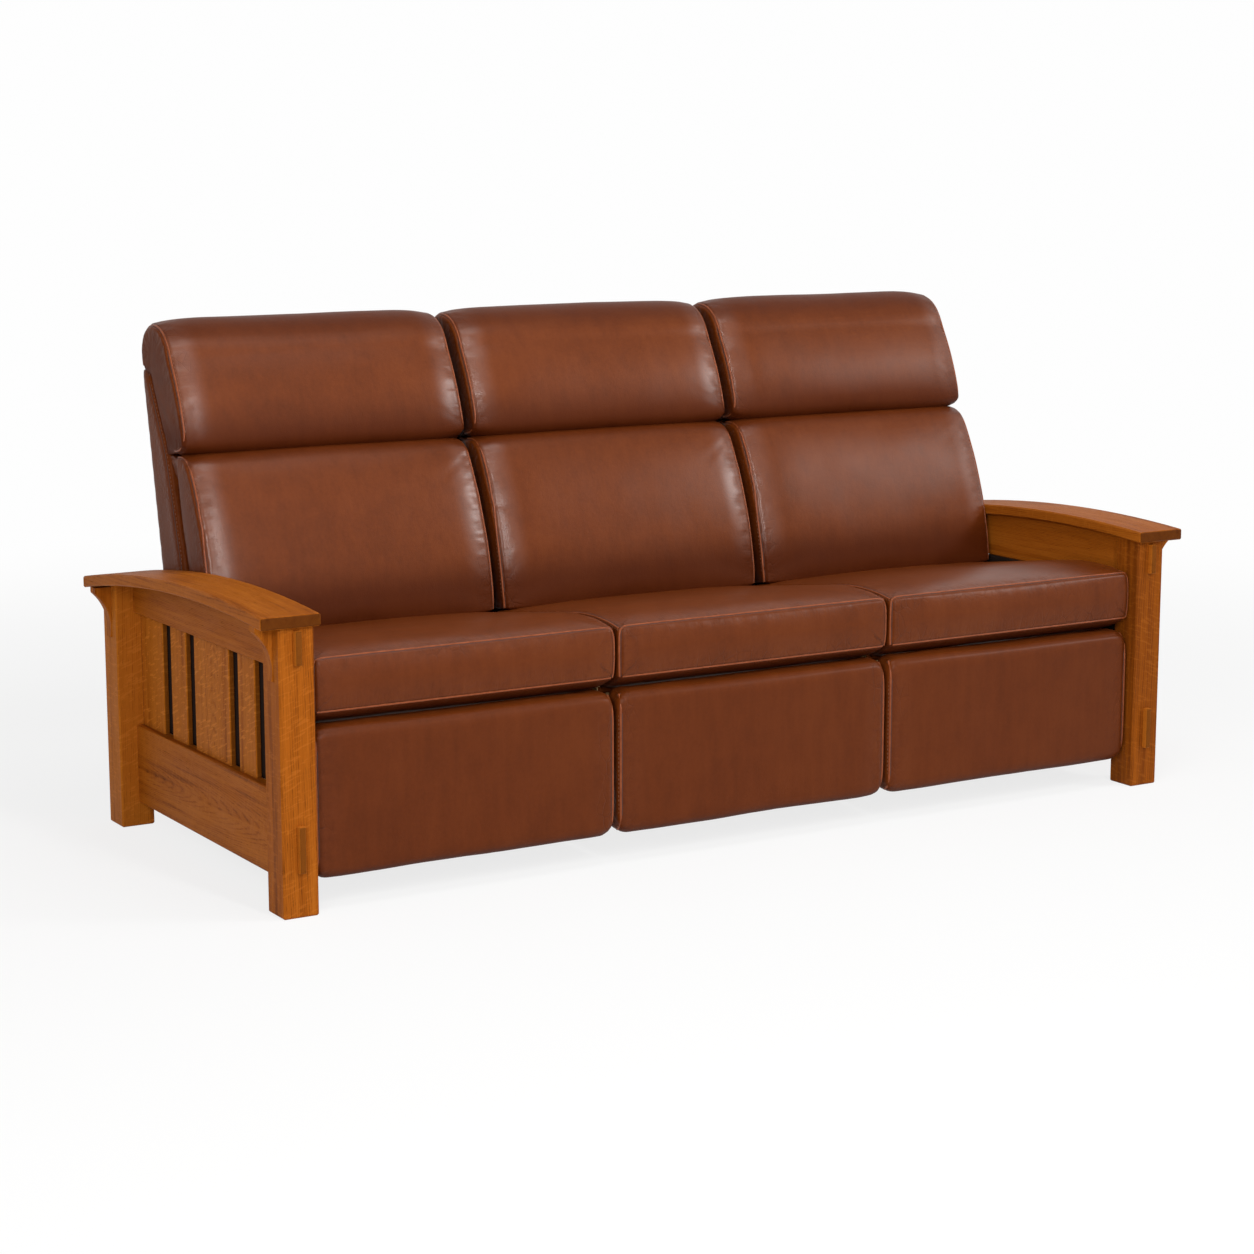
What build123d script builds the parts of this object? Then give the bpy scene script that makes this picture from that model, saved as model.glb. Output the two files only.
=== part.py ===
# High-back reclining sofa with three seats and oak slat arms.
# Millimetres. +Z is up, +X is to the right of someone who faces the sofa,
# and the sofa faces -Y. The origin is on the floor, under the middle.

import os
from math import atan2, degrees, hypot, sqrt

from build123d import *

os.makedirs("parts", exist_ok=True)

# Overall
outer_width = 2159        # from the outer face of one arm's posts to the other's
seat_count = 3

# Arm posts
post_square = 73
post_edge = 3             # chamfer on the long edges
arm_depth = 900           # front face of the front post to the rear face of the rear post

# Arm boards, bowed from front to rear
board_front_overhang = 15
board_rear_overhang = 5
board_outer_overhang = 41
board_inner_overhang = 8
board_thickness = 24
board_edge = 3
board_crown_height = 593  # top of the bow above the floor
board_crown_back = 267    # the crown's distance behind the front posts' face
board_bow_radius = 3563

# Side rails
side_rail_recess = 39     # from the posts' outer face
side_rail_thickness = 28
side_rail_edge = 2
lower_rail_bottom = 51
lower_rail_top = 220
upper_rail_bottom = 462

# Slats: two stiles against the posts, two narrow slats and a wide one
slat_recess = 54          # from the posts' outer face
slat_thickness = 12
stile_width = 120
narrow_slat_width = 80
wide_slat_width = 175
slat_edge = 1.5

# Corbels on the outer faces of the posts
corbel_thickness = 25
corbel_reach = 36
corbel_height = 107
corbel_lip = 12
corbel_tip = 4
corbel_edge = 2

# Tenon ends on the front posts
tenon_width = 13
tenon_proud = 13
tenon_edge = 2.5
upper_tenon_bottom = 486
upper_tenon_top = 551
lower_tenon_bottom = 88
lower_tenon_top = 178

# Cross rails that tie the arms together
cross_rail_thickness = 40
cross_rail_bottom = 100
cross_rail_top = 200
front_cross_rail_back = 320   # behind the front posts' face
rear_cross_rail_inset = 80    # from the rear posts' rear face

# Seat units, one for each place to sit. Here "back" at the end of a name is a distance
# behind the front posts' face, and "height" is above the floor.
seat_side_gap = 5
board_clearance = 2       # from the backs to the arm boards
fit_gap = 0.3             # between faces that pass each other
pivot_gap = 0.05          # round a hinge pin
open_pivot_gap = 0.5      # round a pin at an open pivot of the footrest linkage

# Stuffed forms
flank_place_share = 0.6   # where the flank stands, between the middle and the side
flank_crown_share = 0.7   # how much of the crown the flank has

# Seat cushion
seat_front_back = 18
seat_bottom_seam_height = 385
seat_top_seam_height = 493
seat_crest_back = 125
seat_crest_height = 505
seat_fall_back = 233
seat_fall_height = 495
seat_rear_back = 545
seat_rear_height = 441
seat_underside_height = 352
seat_tuck_back = 112
seat_tuck_bend = 6
seat_front_bulge = 4
seat_drawn_in = 12
seat_crown = 6

# Footrest pad, upright when closed
pad_front_back = 19
pad_thickness = 62
pad_bottom = 59
pad_height = 298
pad_corner = 30
pad_front_round = 22
pad_rear_round = 10

# Back: the lumbar cushion's lower front corner and the size of the box round the whole back
back_front_back = 498
back_low_height = 453
back_depth = 358
back_rise = 621
back_drawn_in = 12
back_crown = 14
slab_round = 12
tongue_front_back = 577
tongue_rear_back = 715
tongue_below_pivot = 28
tongue_lap = 5            # into the slab

# Seat frame and mechanism
seat_rail_inset = 0.5     # from the cushion's sides
seat_rail_thickness = 24
seat_rail_front_back = 110
seat_rail_rear_back = 560
seat_rail_depth = 62      # below the cushion's underside
front_rail_width = 30
front_rail_depth = 18
spring_wire = 4
spring_count = 4
spring_loops = 12
spring_plate_gap = 105    # from the side plates to the nearest springs' middle lines
spring_half_run = 10
spring_rear_gap = 10      # from the side rails' rear end to the cross bar
plate_thickness = 6
plate_front_back = 141
plate_rise = 2            # above the underside of the seat rails
cross_bar_width = 30
cross_bar_depth = 25
back_pivot_back = 600
back_pivot_drop = 22      # below the cushion's underside
back_pivot_radius = 8
back_pivot_length = 28
pin_end_gap = 2           # past the end of a pin in a blind hole
lug_radius = 22
base_rail_thickness = 12

# Footrest linkage, with its pivots as steps from the drive pivot
drive_pivot_back = 157
drive_pivot_drop = 41     # below the cushion's underside
pivot_step = (70, 7)      # from the drive pivot to the guide pivot
drive_step = (69, -114)   # along the drive link to the upper arm's pivot
arm_step = (0, -55)       # from the upper arm to the lower arm
reach_step = (-130, 124)  # along the arms to the footrest
link_width = 22
link_thickness = 5
link_gap = 1
link_pin_radius = 5
bracket_depth = 26
bracket_height = 85
bracket_foot_width = 34
bracket_foot_thickness = 2.5

# Outlines of the back, as shares of the back's depth and rise
slab_rear_top_share = (1.0, 0.84)
slab_front_top_share = (0.885, 0.819)
crease_share = (0.637, 0.56)
slab_front_low_share = (0.444, 0.192)
slab_front_bottom_share = (0.345, 0)
slab_heel_share = (0.285, -0.115)
slab_rear_heel_share = (0.68, -0.115)
lumbar_front_share = (0.005, 0)
lumbar_belly_share = (0.07, 0.205)
lumbar_brow_share = (0.32, 0.54)
lumbar_top_share = (0.4, 0.563)
lumbar_crease_share = (0.535, 0.556)
headrest_heel_along_share = 0.05
headrest_crease_share = (0.52, 0.575)
headrest_chin_share = (0.358, 0.604)
headrest_jaw_share = (0.425, 0.583)
headrest_cheek_share = (0.44, 0.745)
headrest_brow_share = (0.565, 0.882)
headrest_forehead_share = (0.69, 0.972)
headrest_crown_share = (0.845, 1.0)
headrest_nape_share = (1.0, 0.925)
headrest_seat_along_share = 0.65

# Places that follow from these sizes
board_length = arm_depth + board_front_overhang + board_rear_overhang
face_y = board_front_overhang - board_length / 2      # front face of the front posts
half_width = outer_width / 2
post_inner_x = half_width - post_square
board_width = post_square + board_outer_overhang + board_inner_overhang
crown_y = face_y + board_crown_back
bow_centre_z = board_crown_height - board_bow_radius
under_radius = board_bow_radius - board_thickness
side_rail_outer_x = half_width - side_rail_recess
side_rail_inner_x = side_rail_outer_x - side_rail_thickness
seat_pitch = 2 * post_inner_x / seat_count
cushion_width = seat_pitch - 2 * seat_side_gap
back_side_gap = board_inner_overhang + board_clearance
back_width = seat_pitch - 2 * back_side_gap
rear_cross_rail_back = arm_depth - rear_cross_rail_inset - cross_rail_thickness
seat_rail_bottom = seat_underside_height - seat_rail_depth
plate_bottom = seat_rail_bottom + plate_rise
plate_top = seat_underside_height - spring_wire
back_pivot_height = seat_underside_height - back_pivot_drop
drive_pivot_height = seat_underside_height - drive_pivot_drop
tongue_bottom = back_pivot_height - tongue_below_pivot
sides = {"left": -1, "right": 1}


def finish(piece, name):
    """Label a finished piece and write its STEP file."""
    piece.part.label = name
    export_step(piece.part, f"parts/{name}.step")


def bow_height(y, radius):
    """Height of an arc of the bow, of this radius, at a distance y along the arm."""
    return bow_centre_z + sqrt(radius**2 - (y - crown_y) ** 2)


def under_arc(y_from, y_to):
    """The arc of the board's underside between two places along the arm."""
    y_mid = (y_from + y_to) / 2
    return ThreePointArc(
        (y_from, bow_height(y_from, under_radius)),
        (y_mid, bow_height(y_mid, under_radius)),
        (y_to, bow_height(y_to, under_radius)),
    )


def under_bow_profile(x, y_from, y_to, z_bottom):
    """A face across the arm at x, cut off at the top by the underside of the board."""
    with BuildSketch(Plane.YZ.offset(x)) as profile:
        with BuildLine():
            top = under_arc(y_from, y_to)
            Polyline(top @ 1, (y_to, z_bottom), (y_from, z_bottom), top @ 0)
        make_face()
    return profile.sketch


# Arm boards
for side, sign in sides.items():
    board_inner_x = sign * (post_inner_x - board_inner_overhang)
    board_outer_x = sign * (half_width + board_outer_overhang)
    with BuildSketch(Plane.YZ.offset(min(board_inner_x, board_outer_x))) as board_profile:
        with BuildLine():
            y_front = -board_length / 2
            y_rear = board_length / 2
            lower = under_arc(y_front, y_rear)
            upper = ThreePointArc(
                (y_front, bow_height(y_front, board_bow_radius)),
                (crown_y, board_crown_height),
                (y_rear, bow_height(y_rear, board_bow_radius)),
            )
            Line(lower @ 0, upper @ 0)
            Line(lower @ 1, upper @ 1)
        make_face()
    with BuildPart() as arm_board:
        extrude(board_profile.sketch, amount=board_width)
        chamfer(arm_board.edges(), board_edge)
    finish(arm_board, f"arm_board_{side}")

# Posts, with their tops cut to the underside of the boards
post_places = {"front": face_y, "rear": face_y + arm_depth - post_square}
for side, sign in sides.items():
    post_low_x = min(sign * half_width, sign * post_inner_x)
    for end, y_front in post_places.items():
        with BuildPart() as post:
            extrude(under_bow_profile(post_low_x, y_front, y_front + post_square, 0), amount=post_square)
            upright_edges = post.edges().filter_by(Axis.Z)
            foot_edges = post.edges().group_by(Axis.Z)[0]
            chamfer(upright_edges + foot_edges, post_edge)
        finish(post, f"{end}_post_{side}")

# Upper and lower side rails, between the posts
rail_front_y = face_y + post_square
rail_rear_y = face_y + arm_depth - post_square
for side, sign in sides.items():
    rail_low_x = min(sign * side_rail_outer_x, sign * side_rail_inner_x)
    with BuildPart() as upper_rail:
        rail_profile = under_bow_profile(rail_low_x, rail_front_y, rail_rear_y, upper_rail_bottom)
        extrude(rail_profile, amount=side_rail_thickness)
        long_edges = upper_rail.edges().filter_by(Axis.Y).group_by(Axis.Z)[0]
        chamfer(long_edges, side_rail_edge)
    finish(upper_rail, f"upper_side_rail_{side}")
    with BuildPart() as lower_rail:
        with BuildSketch(Plane.YZ.offset(rail_low_x)):
            with Locations(((rail_front_y + rail_rear_y) / 2, (lower_rail_bottom + lower_rail_top) / 2)):
                Rectangle(rail_rear_y - rail_front_y, lower_rail_top - lower_rail_bottom)
        extrude(amount=side_rail_thickness)
        chamfer(lower_rail.edges().filter_by(Axis.Y), side_rail_edge)
    finish(lower_rail, f"lower_side_rail_{side}")

# Slats and stiles, with even gaps on each side of the narrow slats
slat_run = rail_rear_y - rail_front_y
slat_gap = (slat_run - 2 * stile_width - 2 * narrow_slat_width - wide_slat_width) / 4
slat_widths = (stile_width, narrow_slat_width, wide_slat_width, narrow_slat_width, stile_width)
for side, sign in sides.items():
    slat_outer_x = sign * (half_width - slat_recess)
    slat_low_x = min(slat_outer_x, slat_outer_x - sign * slat_thickness)
    with BuildPart() as slats:
        start_y = rail_front_y
        with BuildSketch(Plane.YZ.offset(slat_low_x)):
            for width in slat_widths:
                with Locations((start_y + width / 2, (lower_rail_top + upper_rail_bottom) / 2)):
                    Rectangle(width, upper_rail_bottom - lower_rail_top)
                start_y = start_y + width + slat_gap
        extrude(amount=slat_thickness)
        chamfer(slats.edges().filter_by(Axis.Z), slat_edge)
    finish(slats, f"side_slats_{side}")

# Corbels, under the boards' outer overhang
for side, sign in sides.items():
    for end, y_front in post_places.items():
        corbel_y = y_front + post_square / 2
        corbel_top = min(
            bow_height(corbel_y - corbel_thickness / 2, under_radius),
            bow_height(corbel_y + corbel_thickness / 2, under_radius),
        )
        lip_z = corbel_top - corbel_lip
        tip_z = corbel_top - corbel_height
        reach_x = sign * (half_width + corbel_reach)
        tip_x = sign * (half_width + corbel_tip)
        hollow_share = 0.3
        hollow_x = tip_x + (reach_x - tip_x) * hollow_share
        hollow_z = lip_z + (tip_z - lip_z) * hollow_share
        with BuildPart() as corbel:
            with BuildSketch(Plane.XZ.offset(-corbel_y - corbel_thickness / 2)):
                with BuildLine():
                    Polyline(
                        (tip_x, tip_z),
                        (sign * half_width, tip_z),
                        (sign * half_width, corbel_top),
                        (reach_x, corbel_top),
                        (reach_x, lip_z),
                    )
                    ThreePointArc((reach_x, lip_z), (hollow_x, hollow_z), (tip_x, tip_z))
                make_face()
            extrude(amount=corbel_thickness)
            outer_faces = corbel.faces().filter_by(GeomType.CYLINDER)
            chamfer(outer_faces.edges().filter_by(GeomType.CIRCLE), corbel_edge)
        finish(corbel, f"{end}_corbel_{side}")

# Tenon ends, let in to the front posts
with BuildPart() as tenon_ends:
    for sign in sides.values():
        tenon_x = sign * (half_width - post_square / 2)
        for bottom, top in (
            (lower_tenon_bottom, lower_tenon_top),
            (upper_tenon_bottom, upper_tenon_top),
        ):
            with BuildSketch(Plane.XZ.offset(-face_y)):
                with Locations((tenon_x, (bottom + top) / 2)):
                    Rectangle(tenon_width, top - bottom)
            extrude(amount=tenon_proud)
    front_faces = tenon_ends.faces().filter_by(Axis.Y).group_by(Axis.Y)[0]
    chamfer(front_faces.edges(), tenon_edge)
finish(tenon_ends, "tenon_ends")

# Cross rails between the lower side rails
for end, back in {"front": front_cross_rail_back, "rear": rear_cross_rail_back}.items():
    with BuildPart() as cross_rail:
        with BuildSketch(Plane.XY.offset(cross_rail_bottom)):
            with Locations((0, face_y + back + cross_rail_thickness / 2)):
                Rectangle(2 * side_rail_inner_x, cross_rail_thickness)
        extrude(amount=cross_rail_top - cross_rail_bottom)
    finish(cross_rail, f"{end}_cross_rail")


def place(back, height):
    """A point of a side outline from its distance behind the posts' face and its height."""
    return (face_y + back, height)


def step(point, by):
    """A point moved by a step."""
    return (point[0] + by[0], point[1] + by[1])


def between(start, end, share):
    """The point at this share of the way from one point to another."""
    return (start[0] + (end[0] - start[0]) * share, start[1] + (end[1] - start[1]) * share)


def back_place(shares, draw=0):
    """A point of the back's outline, drawn in towards the slab by this much."""
    depth_share, rise_share = shares
    return place(
        back_front_back + back_depth * depth_share + draw,
        back_low_height + back_rise * rise_share,
    )


def side_face(x, start, *strokes):
    """A closed face across the seat at x. A stroke is a line's end, or an arc's middle and end."""
    with BuildSketch(Plane.YZ.offset(x)) as face:
        with BuildLine():
            here = start
            for stroke in strokes:
                if len(stroke) == 1:
                    Line(here, stroke[0])
                else:
                    ThreePointArc(here, *stroke)
                here = stroke[-1]
        make_face()
    return face.sketch


def stuffed(section, centre_x, width, drawn_in, crown):
    """A stuffed form: its section is drawn in at both sides and crowned in the middle."""
    half = width / 2
    flank = half * flank_place_share
    flank_draw = -crown * flank_crown_share
    stations = (
        (-half, drawn_in),
        (-flank, flank_draw),
        (0, -crown),
        (flank, flank_draw),
        (half, drawn_in),
    )
    with BuildPart() as form:
        loft([section(centre_x + x, draw) for x, draw in stations])
    return form


def seat_section(x, draw):
    """The seat cushion's outline: boxing, crown, fall to the rear, and the tuck below."""
    front = seat_front_back + draw / 2
    lower_front = place(front, seat_bottom_seam_height)
    boxing_middle = place(front - seat_front_bulge, (seat_bottom_seam_height + seat_top_seam_height) / 2)
    tuck = place(seat_tuck_back, seat_underside_height)
    tuck_middle = step(between(lower_front, tuck, 1 / 2), (-seat_tuck_bend / 2, -seat_tuck_bend / 2))
    return side_face(
        x,
        lower_front,
        (boxing_middle, place(front, seat_top_seam_height - draw)),
        (place(seat_crest_back, seat_crest_height - draw), place(seat_fall_back, seat_fall_height - draw)),
        (place(seat_rear_back, seat_rear_height),),
        (place(seat_rear_back, seat_underside_height),),
        (tuck,),
        (tuck_middle, lower_front),
    )


def make_footrest_pad(centre_x):
    """The upright footrest pad: a slab with round corners and soft edges."""
    with BuildPart() as pad:
        with BuildSketch(Plane.XZ.offset(-face_y - pad_front_back - pad_thickness)):
            with Locations((centre_x, pad_bottom + pad_height / 2)):
                RectangleRounded(cushion_width, pad_height, pad_corner)
        extrude(amount=pad_thickness)
        faces_by_depth = pad.faces().filter_by(Axis.Y).sort_by(Axis.Y)
        fillet(faces_by_depth[-1].edges(), pad_rear_round)
        fillet(pad.faces().filter_by(Axis.Y).sort_by(Axis.Y)[0].edges(), pad_front_round)
    return pad


def lumbar_section(x, draw):
    """The lumbar cushion's outline: a full belly, a round brow and the crease above it."""
    return side_face(
        x,
        back_place(lumbar_front_share, draw),
        (back_place(lumbar_belly_share, draw), back_place(lumbar_brow_share, draw)),
        (back_place(lumbar_top_share, draw), back_place(lumbar_crease_share)),
        (back_place(crease_share),),
        (back_place(slab_front_low_share),),
        (back_place(slab_front_bottom_share),),
        (back_place(lumbar_front_share, draw),),
    )


def headrest_section(x, draw):
    """The headrest's outline: a roll that leans forward and laps over the slab's top."""
    slab_front_top = back_place(slab_front_top_share)
    heel = between(back_place(crease_share), slab_front_top, headrest_heel_along_share)
    seat = between(slab_front_top, back_place(slab_rear_top_share), headrest_seat_along_share)
    chin = back_place(headrest_chin_share, draw)
    top = step(back_place(headrest_crown_share), (0, -draw))
    return side_face(
        x,
        heel,
        (back_place(headrest_crease_share),),
        (back_place(headrest_jaw_share, draw / 2), chin),
        (back_place(headrest_cheek_share, draw), back_place(headrest_brow_share, draw)),
        (back_place(headrest_forehead_share, draw), top),
        (back_place(headrest_nape_share, -draw / 2), seat),
        (slab_front_top,),
        (heel,),
    )


def both_sides(centre_x, near, far):
    """The lower x of a span from near to far of the seat's middle, on the left and the right."""
    return (centre_x - far, centre_x + near)


def link_face(x, pivots):
    """A face of even width that joins pivots one after another."""
    with BuildSketch(Plane.YZ.offset(x)) as face:
        for (y_from, z_from), (y_to, z_to) in zip(pivots, pivots[1:]):
            run = hypot(y_to - y_from, z_to - z_from)
            turn = degrees(atan2(z_to - z_from, y_to - y_from))
            with Locations(((y_from + y_to) / 2, (z_from + z_to) / 2)):
                SlotCenterToCenter(run, link_width, rotation=turn)
    return face.sketch


def disc(x, centre, radius):
    """A round face across the seat at x."""
    with BuildSketch(Plane.YZ.offset(x)) as face:
        with Locations(centre):
            Circle(radius)
    return face.sketch


def block_face(x, back_low, back_high, height_low, height_high):
    """A rectangle across the seat at x."""
    with BuildSketch(Plane.YZ.offset(x)) as face:
        with Locations(place((back_low + back_high) / 2, (height_low + height_high) / 2)):
            Rectangle(back_high - back_low, height_high - height_low)
    return face.sketch


# Layers of the mechanism, as distances from the middle of the seat
seat_rail_outer = cushion_width / 2 - seat_rail_inset
seat_rail_inner = seat_rail_outer - seat_rail_thickness
plate_inner = seat_rail_inner - plate_thickness
spring_pitch = 2 * (plate_inner - spring_plate_gap) / (spring_count - 1)
outer_layer_far = plate_inner - link_gap
outer_layer_near = outer_layer_far - link_thickness
inner_layer_far = outer_layer_near - link_gap
inner_layer_near = inner_layer_far - link_thickness

# Pivots of the footrest linkage
drive_pivot = place(drive_pivot_back, drive_pivot_height)
guide_pivot = step(drive_pivot, pivot_step)
upper_arm_pivot = step(drive_pivot, drive_step)
lower_arm_pivot = step(upper_arm_pivot, arm_step)
guide_end = step(upper_arm_pivot, pivot_step)
upper_arm_end = step(upper_arm_pivot, reach_step)
lower_arm_end = step(lower_arm_pivot, reach_step)
back_pivot = place(back_pivot_back, back_pivot_height)
running_hole = link_pin_radius + pivot_gap
open_hole = link_pin_radius + open_pivot_gap


def make_link(centre_x, near, pivots, holes, pins):
    """A pair of flat links. Holes are centres and radii, pins are centres and spans."""
    with BuildPart() as pair:
        for low_x in both_sides(centre_x, near, near + link_thickness):
            extrude(link_face(low_x, pivots), amount=link_thickness)
            for centre, radius in holes:
                extrude(disc(low_x, centre, radius), amount=link_thickness, mode=Mode.SUBTRACT)
        for centre, pin_near, pin_far in pins:
            for low_x in both_sides(centre_x, pin_near, pin_far):
                extrude(disc(low_x, centre, link_pin_radius), amount=pin_far - pin_near)
    return pair


def make_seat_frame(centre_x):
    """Two side rails joined by a front rail, all of wood."""
    with BuildPart() as frame:
        for low_x in both_sides(centre_x, seat_rail_inner, seat_rail_outer):
            side_rail = block_face(
                low_x, seat_rail_front_back, seat_rail_rear_back, seat_rail_bottom, seat_underside_height
            )
            extrude(side_rail, amount=seat_rail_thickness)
        rail_top = seat_underside_height - spring_wire
        front_rail = block_face(
            centre_x - seat_rail_inner,
            seat_rail_front_back,
            seat_rail_front_back + front_rail_width,
            rail_top - front_rail_depth,
            rail_top,
        )
        extrude(front_rail, amount=2 * seat_rail_inner)
    return frame


def make_springs(centre_x):
    """Flat zigzag springs from the front rail to the rear cross bar."""
    spring_front = face_y + seat_rail_front_back
    spring_rear = face_y + seat_rail_rear_back - spring_rear_gap
    loop_pitch = (spring_rear - spring_front) / spring_loops
    with BuildPart() as springs:
        for spring in range(spring_count):
            spring_x = centre_x + (spring - (spring_count - 1) / 2) * spring_pitch
            with BuildSketch(Plane.XY.offset(seat_underside_height - spring_wire)):
                with BuildLine():
                    for loop in range(spring_loops):
                        swing = spring_half_run if loop % 2 else -spring_half_run
                        y_here = spring_front + (loop + 1 / 2) * loop_pitch
                        y_next = y_here + loop_pitch
                        Line((spring_x - swing, y_here), (spring_x + swing, y_here))
                        if loop < spring_loops - 1:
                            bend_x = spring_x + swing + (swing / spring_half_run) * loop_pitch / 2
                            turn_middle = (bend_x, (y_here + y_next) / 2)
                            ThreePointArc((spring_x + swing, y_here), turn_middle, (spring_x + swing, y_next))
                trace(line_width=spring_wire)
            extrude(amount=spring_wire)
    return springs


def make_mechanism_frame(centre_x):
    """Two steel side plates, their rear cross bar and the pins that the back turns on."""
    with BuildPart() as frame:
        for low_x in both_sides(centre_x, plate_inner, seat_rail_inner):
            plate = block_face(low_x, plate_front_back, back_pivot_back, plate_bottom, plate_top)
            extrude(plate, amount=plate_thickness)
            extrude(disc(low_x, back_pivot, lug_radius), amount=plate_thickness)
            for pivot in (drive_pivot, guide_pivot):
                hole = disc(low_x, pivot, running_hole)
                extrude(hole, amount=plate_thickness, mode=Mode.SUBTRACT)
        cross_bar = block_face(
            centre_x - plate_inner,
            seat_rail_rear_back - spring_rear_gap - cross_bar_width,
            seat_rail_rear_back - spring_rear_gap,
            plate_top - cross_bar_depth,
            plate_top,
        )
        extrude(cross_bar, amount=2 * plate_inner)
        for low_x in both_sides(centre_x, plate_inner - back_pivot_length, plate_inner):
            extrude(disc(low_x, back_pivot, back_pivot_radius), amount=back_pivot_length)
    return frame


def make_back_frame(centre_x):
    """The padded slab behind the cushions, with a tongue that turns on the mechanism's pins."""
    slab = side_face(
        centre_x - back_width / 2,
        back_place(slab_rear_top_share),
        (back_place(slab_front_top_share),),
        (back_place(crease_share),),
        (back_place(slab_front_low_share),),
        (back_place(slab_front_bottom_share),),
        (back_place(slab_heel_share),),
        (back_place(slab_rear_heel_share),),
        (back_place(slab_rear_top_share),),
    )
    tongue_half = plate_inner - link_gap
    slab_low = back_place(slab_heel_share)[1]
    with BuildPart() as back:
        extrude(slab, amount=back_width)
        rear_edges = back.faces().sort_by(Axis.Y)[-1].edges()
        fillet(rear_edges, slab_round)
        tongue = block_face(
            centre_x - tongue_half, tongue_front_back, tongue_rear_back, tongue_bottom, slab_low + tongue_lap
        )
        extrude(tongue, amount=2 * tongue_half)
        bore_length = back_pivot_length - link_gap + pin_end_gap
        for low_x in both_sides(centre_x, tongue_half - bore_length, tongue_half):
            bore = disc(low_x, back_pivot, back_pivot_radius + pivot_gap)
            extrude(bore, amount=bore_length, mode=Mode.SUBTRACT)
    return back


def make_brackets(centre_x):
    """Two angle brackets on the pad's back, with the pins that the arms end on."""
    bracket_back = pad_front_back + pad_thickness
    bracket_middle = (upper_arm_end[1] + lower_arm_end[1]) / 2
    bracket_low = bracket_middle - bracket_height / 2
    bracket_high = bracket_middle + bracket_height / 2
    with BuildPart() as brackets:
        for low_x in both_sides(centre_x, outer_layer_near, outer_layer_far):
            web = block_face(low_x, bracket_back, bracket_back + bracket_depth, bracket_low, bracket_high)
            extrude(web, amount=link_thickness)
        for low_x in both_sides(centre_x, outer_layer_far - bracket_foot_width, outer_layer_far):
            foot = block_face(
                low_x, bracket_back, bracket_back + bracket_foot_thickness, bracket_low, bracket_high
            )
            extrude(foot, amount=bracket_foot_width)
        for pin_centre in (upper_arm_end, lower_arm_end):
            for low_x in both_sides(centre_x, inner_layer_near + fit_gap, outer_layer_near):
                pin = disc(low_x, pin_centre, link_pin_radius)
                extrude(pin, amount=outer_layer_near - inner_layer_near - fit_gap)
    return brackets


for seat in range(1, seat_count + 1):
    centre_x = (seat - (seat_count + 1) / 2) * seat_pitch
    seat_cushion = stuffed(seat_section, centre_x, cushion_width, seat_drawn_in, seat_crown)
    lumbar = stuffed(lumbar_section, centre_x, back_width, back_drawn_in, back_crown)
    headrest = stuffed(headrest_section, centre_x, back_width, back_drawn_in, back_crown)
    plate_pin_end = seat_rail_inner - fit_gap
    outer_pin_end = outer_layer_far - fit_gap
    inner_pin_end = inner_layer_near + fit_gap
    drive_link = make_link(
        centre_x,
        outer_layer_near,
        (drive_pivot, upper_arm_pivot, lower_arm_pivot),
        ((upper_arm_pivot, running_hole), (lower_arm_pivot, running_hole)),
        ((drive_pivot, outer_layer_far, plate_pin_end),),
    )
    guide_link = make_link(
        centre_x,
        outer_layer_near,
        (guide_pivot, guide_end),
        (),
        ((guide_pivot, outer_layer_far, plate_pin_end), (guide_end, inner_pin_end, outer_layer_near)),
    )
    upper_arm = make_link(
        centre_x,
        inner_layer_near,
        (upper_arm_end, upper_arm_pivot, guide_end),
        ((upper_arm_end, open_hole), (guide_end, open_hole)),
        ((upper_arm_pivot, inner_layer_far, outer_pin_end),),
    )
    lower_arm = make_link(
        centre_x,
        inner_layer_near,
        (lower_arm_end, lower_arm_pivot),
        ((lower_arm_end, running_hole),),
        ((lower_arm_pivot, inner_layer_far, outer_pin_end),),
    )
    finish(seat_cushion, f"seat_cushion_{seat}")
    finish(make_footrest_pad(centre_x), f"footrest_pad_{seat}")
    finish(lumbar, f"lumbar_cushion_{seat}")
    finish(headrest, f"headrest_{seat}")
    finish(drive_link, f"footrest_drive_link_{seat}")
    finish(guide_link, f"footrest_guide_link_{seat}")
    finish(upper_arm, f"footrest_upper_arm_{seat}")
    finish(lower_arm, f"footrest_lower_arm_{seat}")
    finish(make_seat_frame(centre_x), f"seat_frame_{seat}")
    finish(make_springs(centre_x), f"seat_springs_{seat}")
    finish(make_mechanism_frame(centre_x), f"mechanism_frame_{seat}")
    finish(make_back_frame(centre_x), f"back_frame_{seat}")
    finish(make_brackets(centre_x), f"footrest_brackets_{seat}")

# Base rails that the seats slide on, on top of the cross rails
with BuildPart() as base_rails:
    for seat in range(1, seat_count + 1):
        centre_x = (seat - (seat_count + 1) / 2) * seat_pitch
        for low_x in both_sides(centre_x, seat_rail_outer - base_rail_thickness, seat_rail_outer):
            base_rail = block_face(
                low_x,
                front_cross_rail_back,
                rear_cross_rail_back + cross_rail_thickness,
                cross_rail_top,
                seat_rail_bottom - fit_gap,
            )
            extrude(base_rail, amount=base_rail_thickness)
finish(base_rails, "base_rails")
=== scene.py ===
# %% [markdown]
# # A reclining sofa with slatted oak arms
#
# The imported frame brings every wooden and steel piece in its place, in metres, on the body that
# moves it. This lesson gives those pieces their finish and sews new leather over the seats, the
# backs and the footrests, because upholstery is soft and a solid from a drawing is not.

# %% Load the fixed frame
import math

import bmesh
import bpy
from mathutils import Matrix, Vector, kdtree, noise
from mathutils.bvhtree import BVHTree


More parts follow.
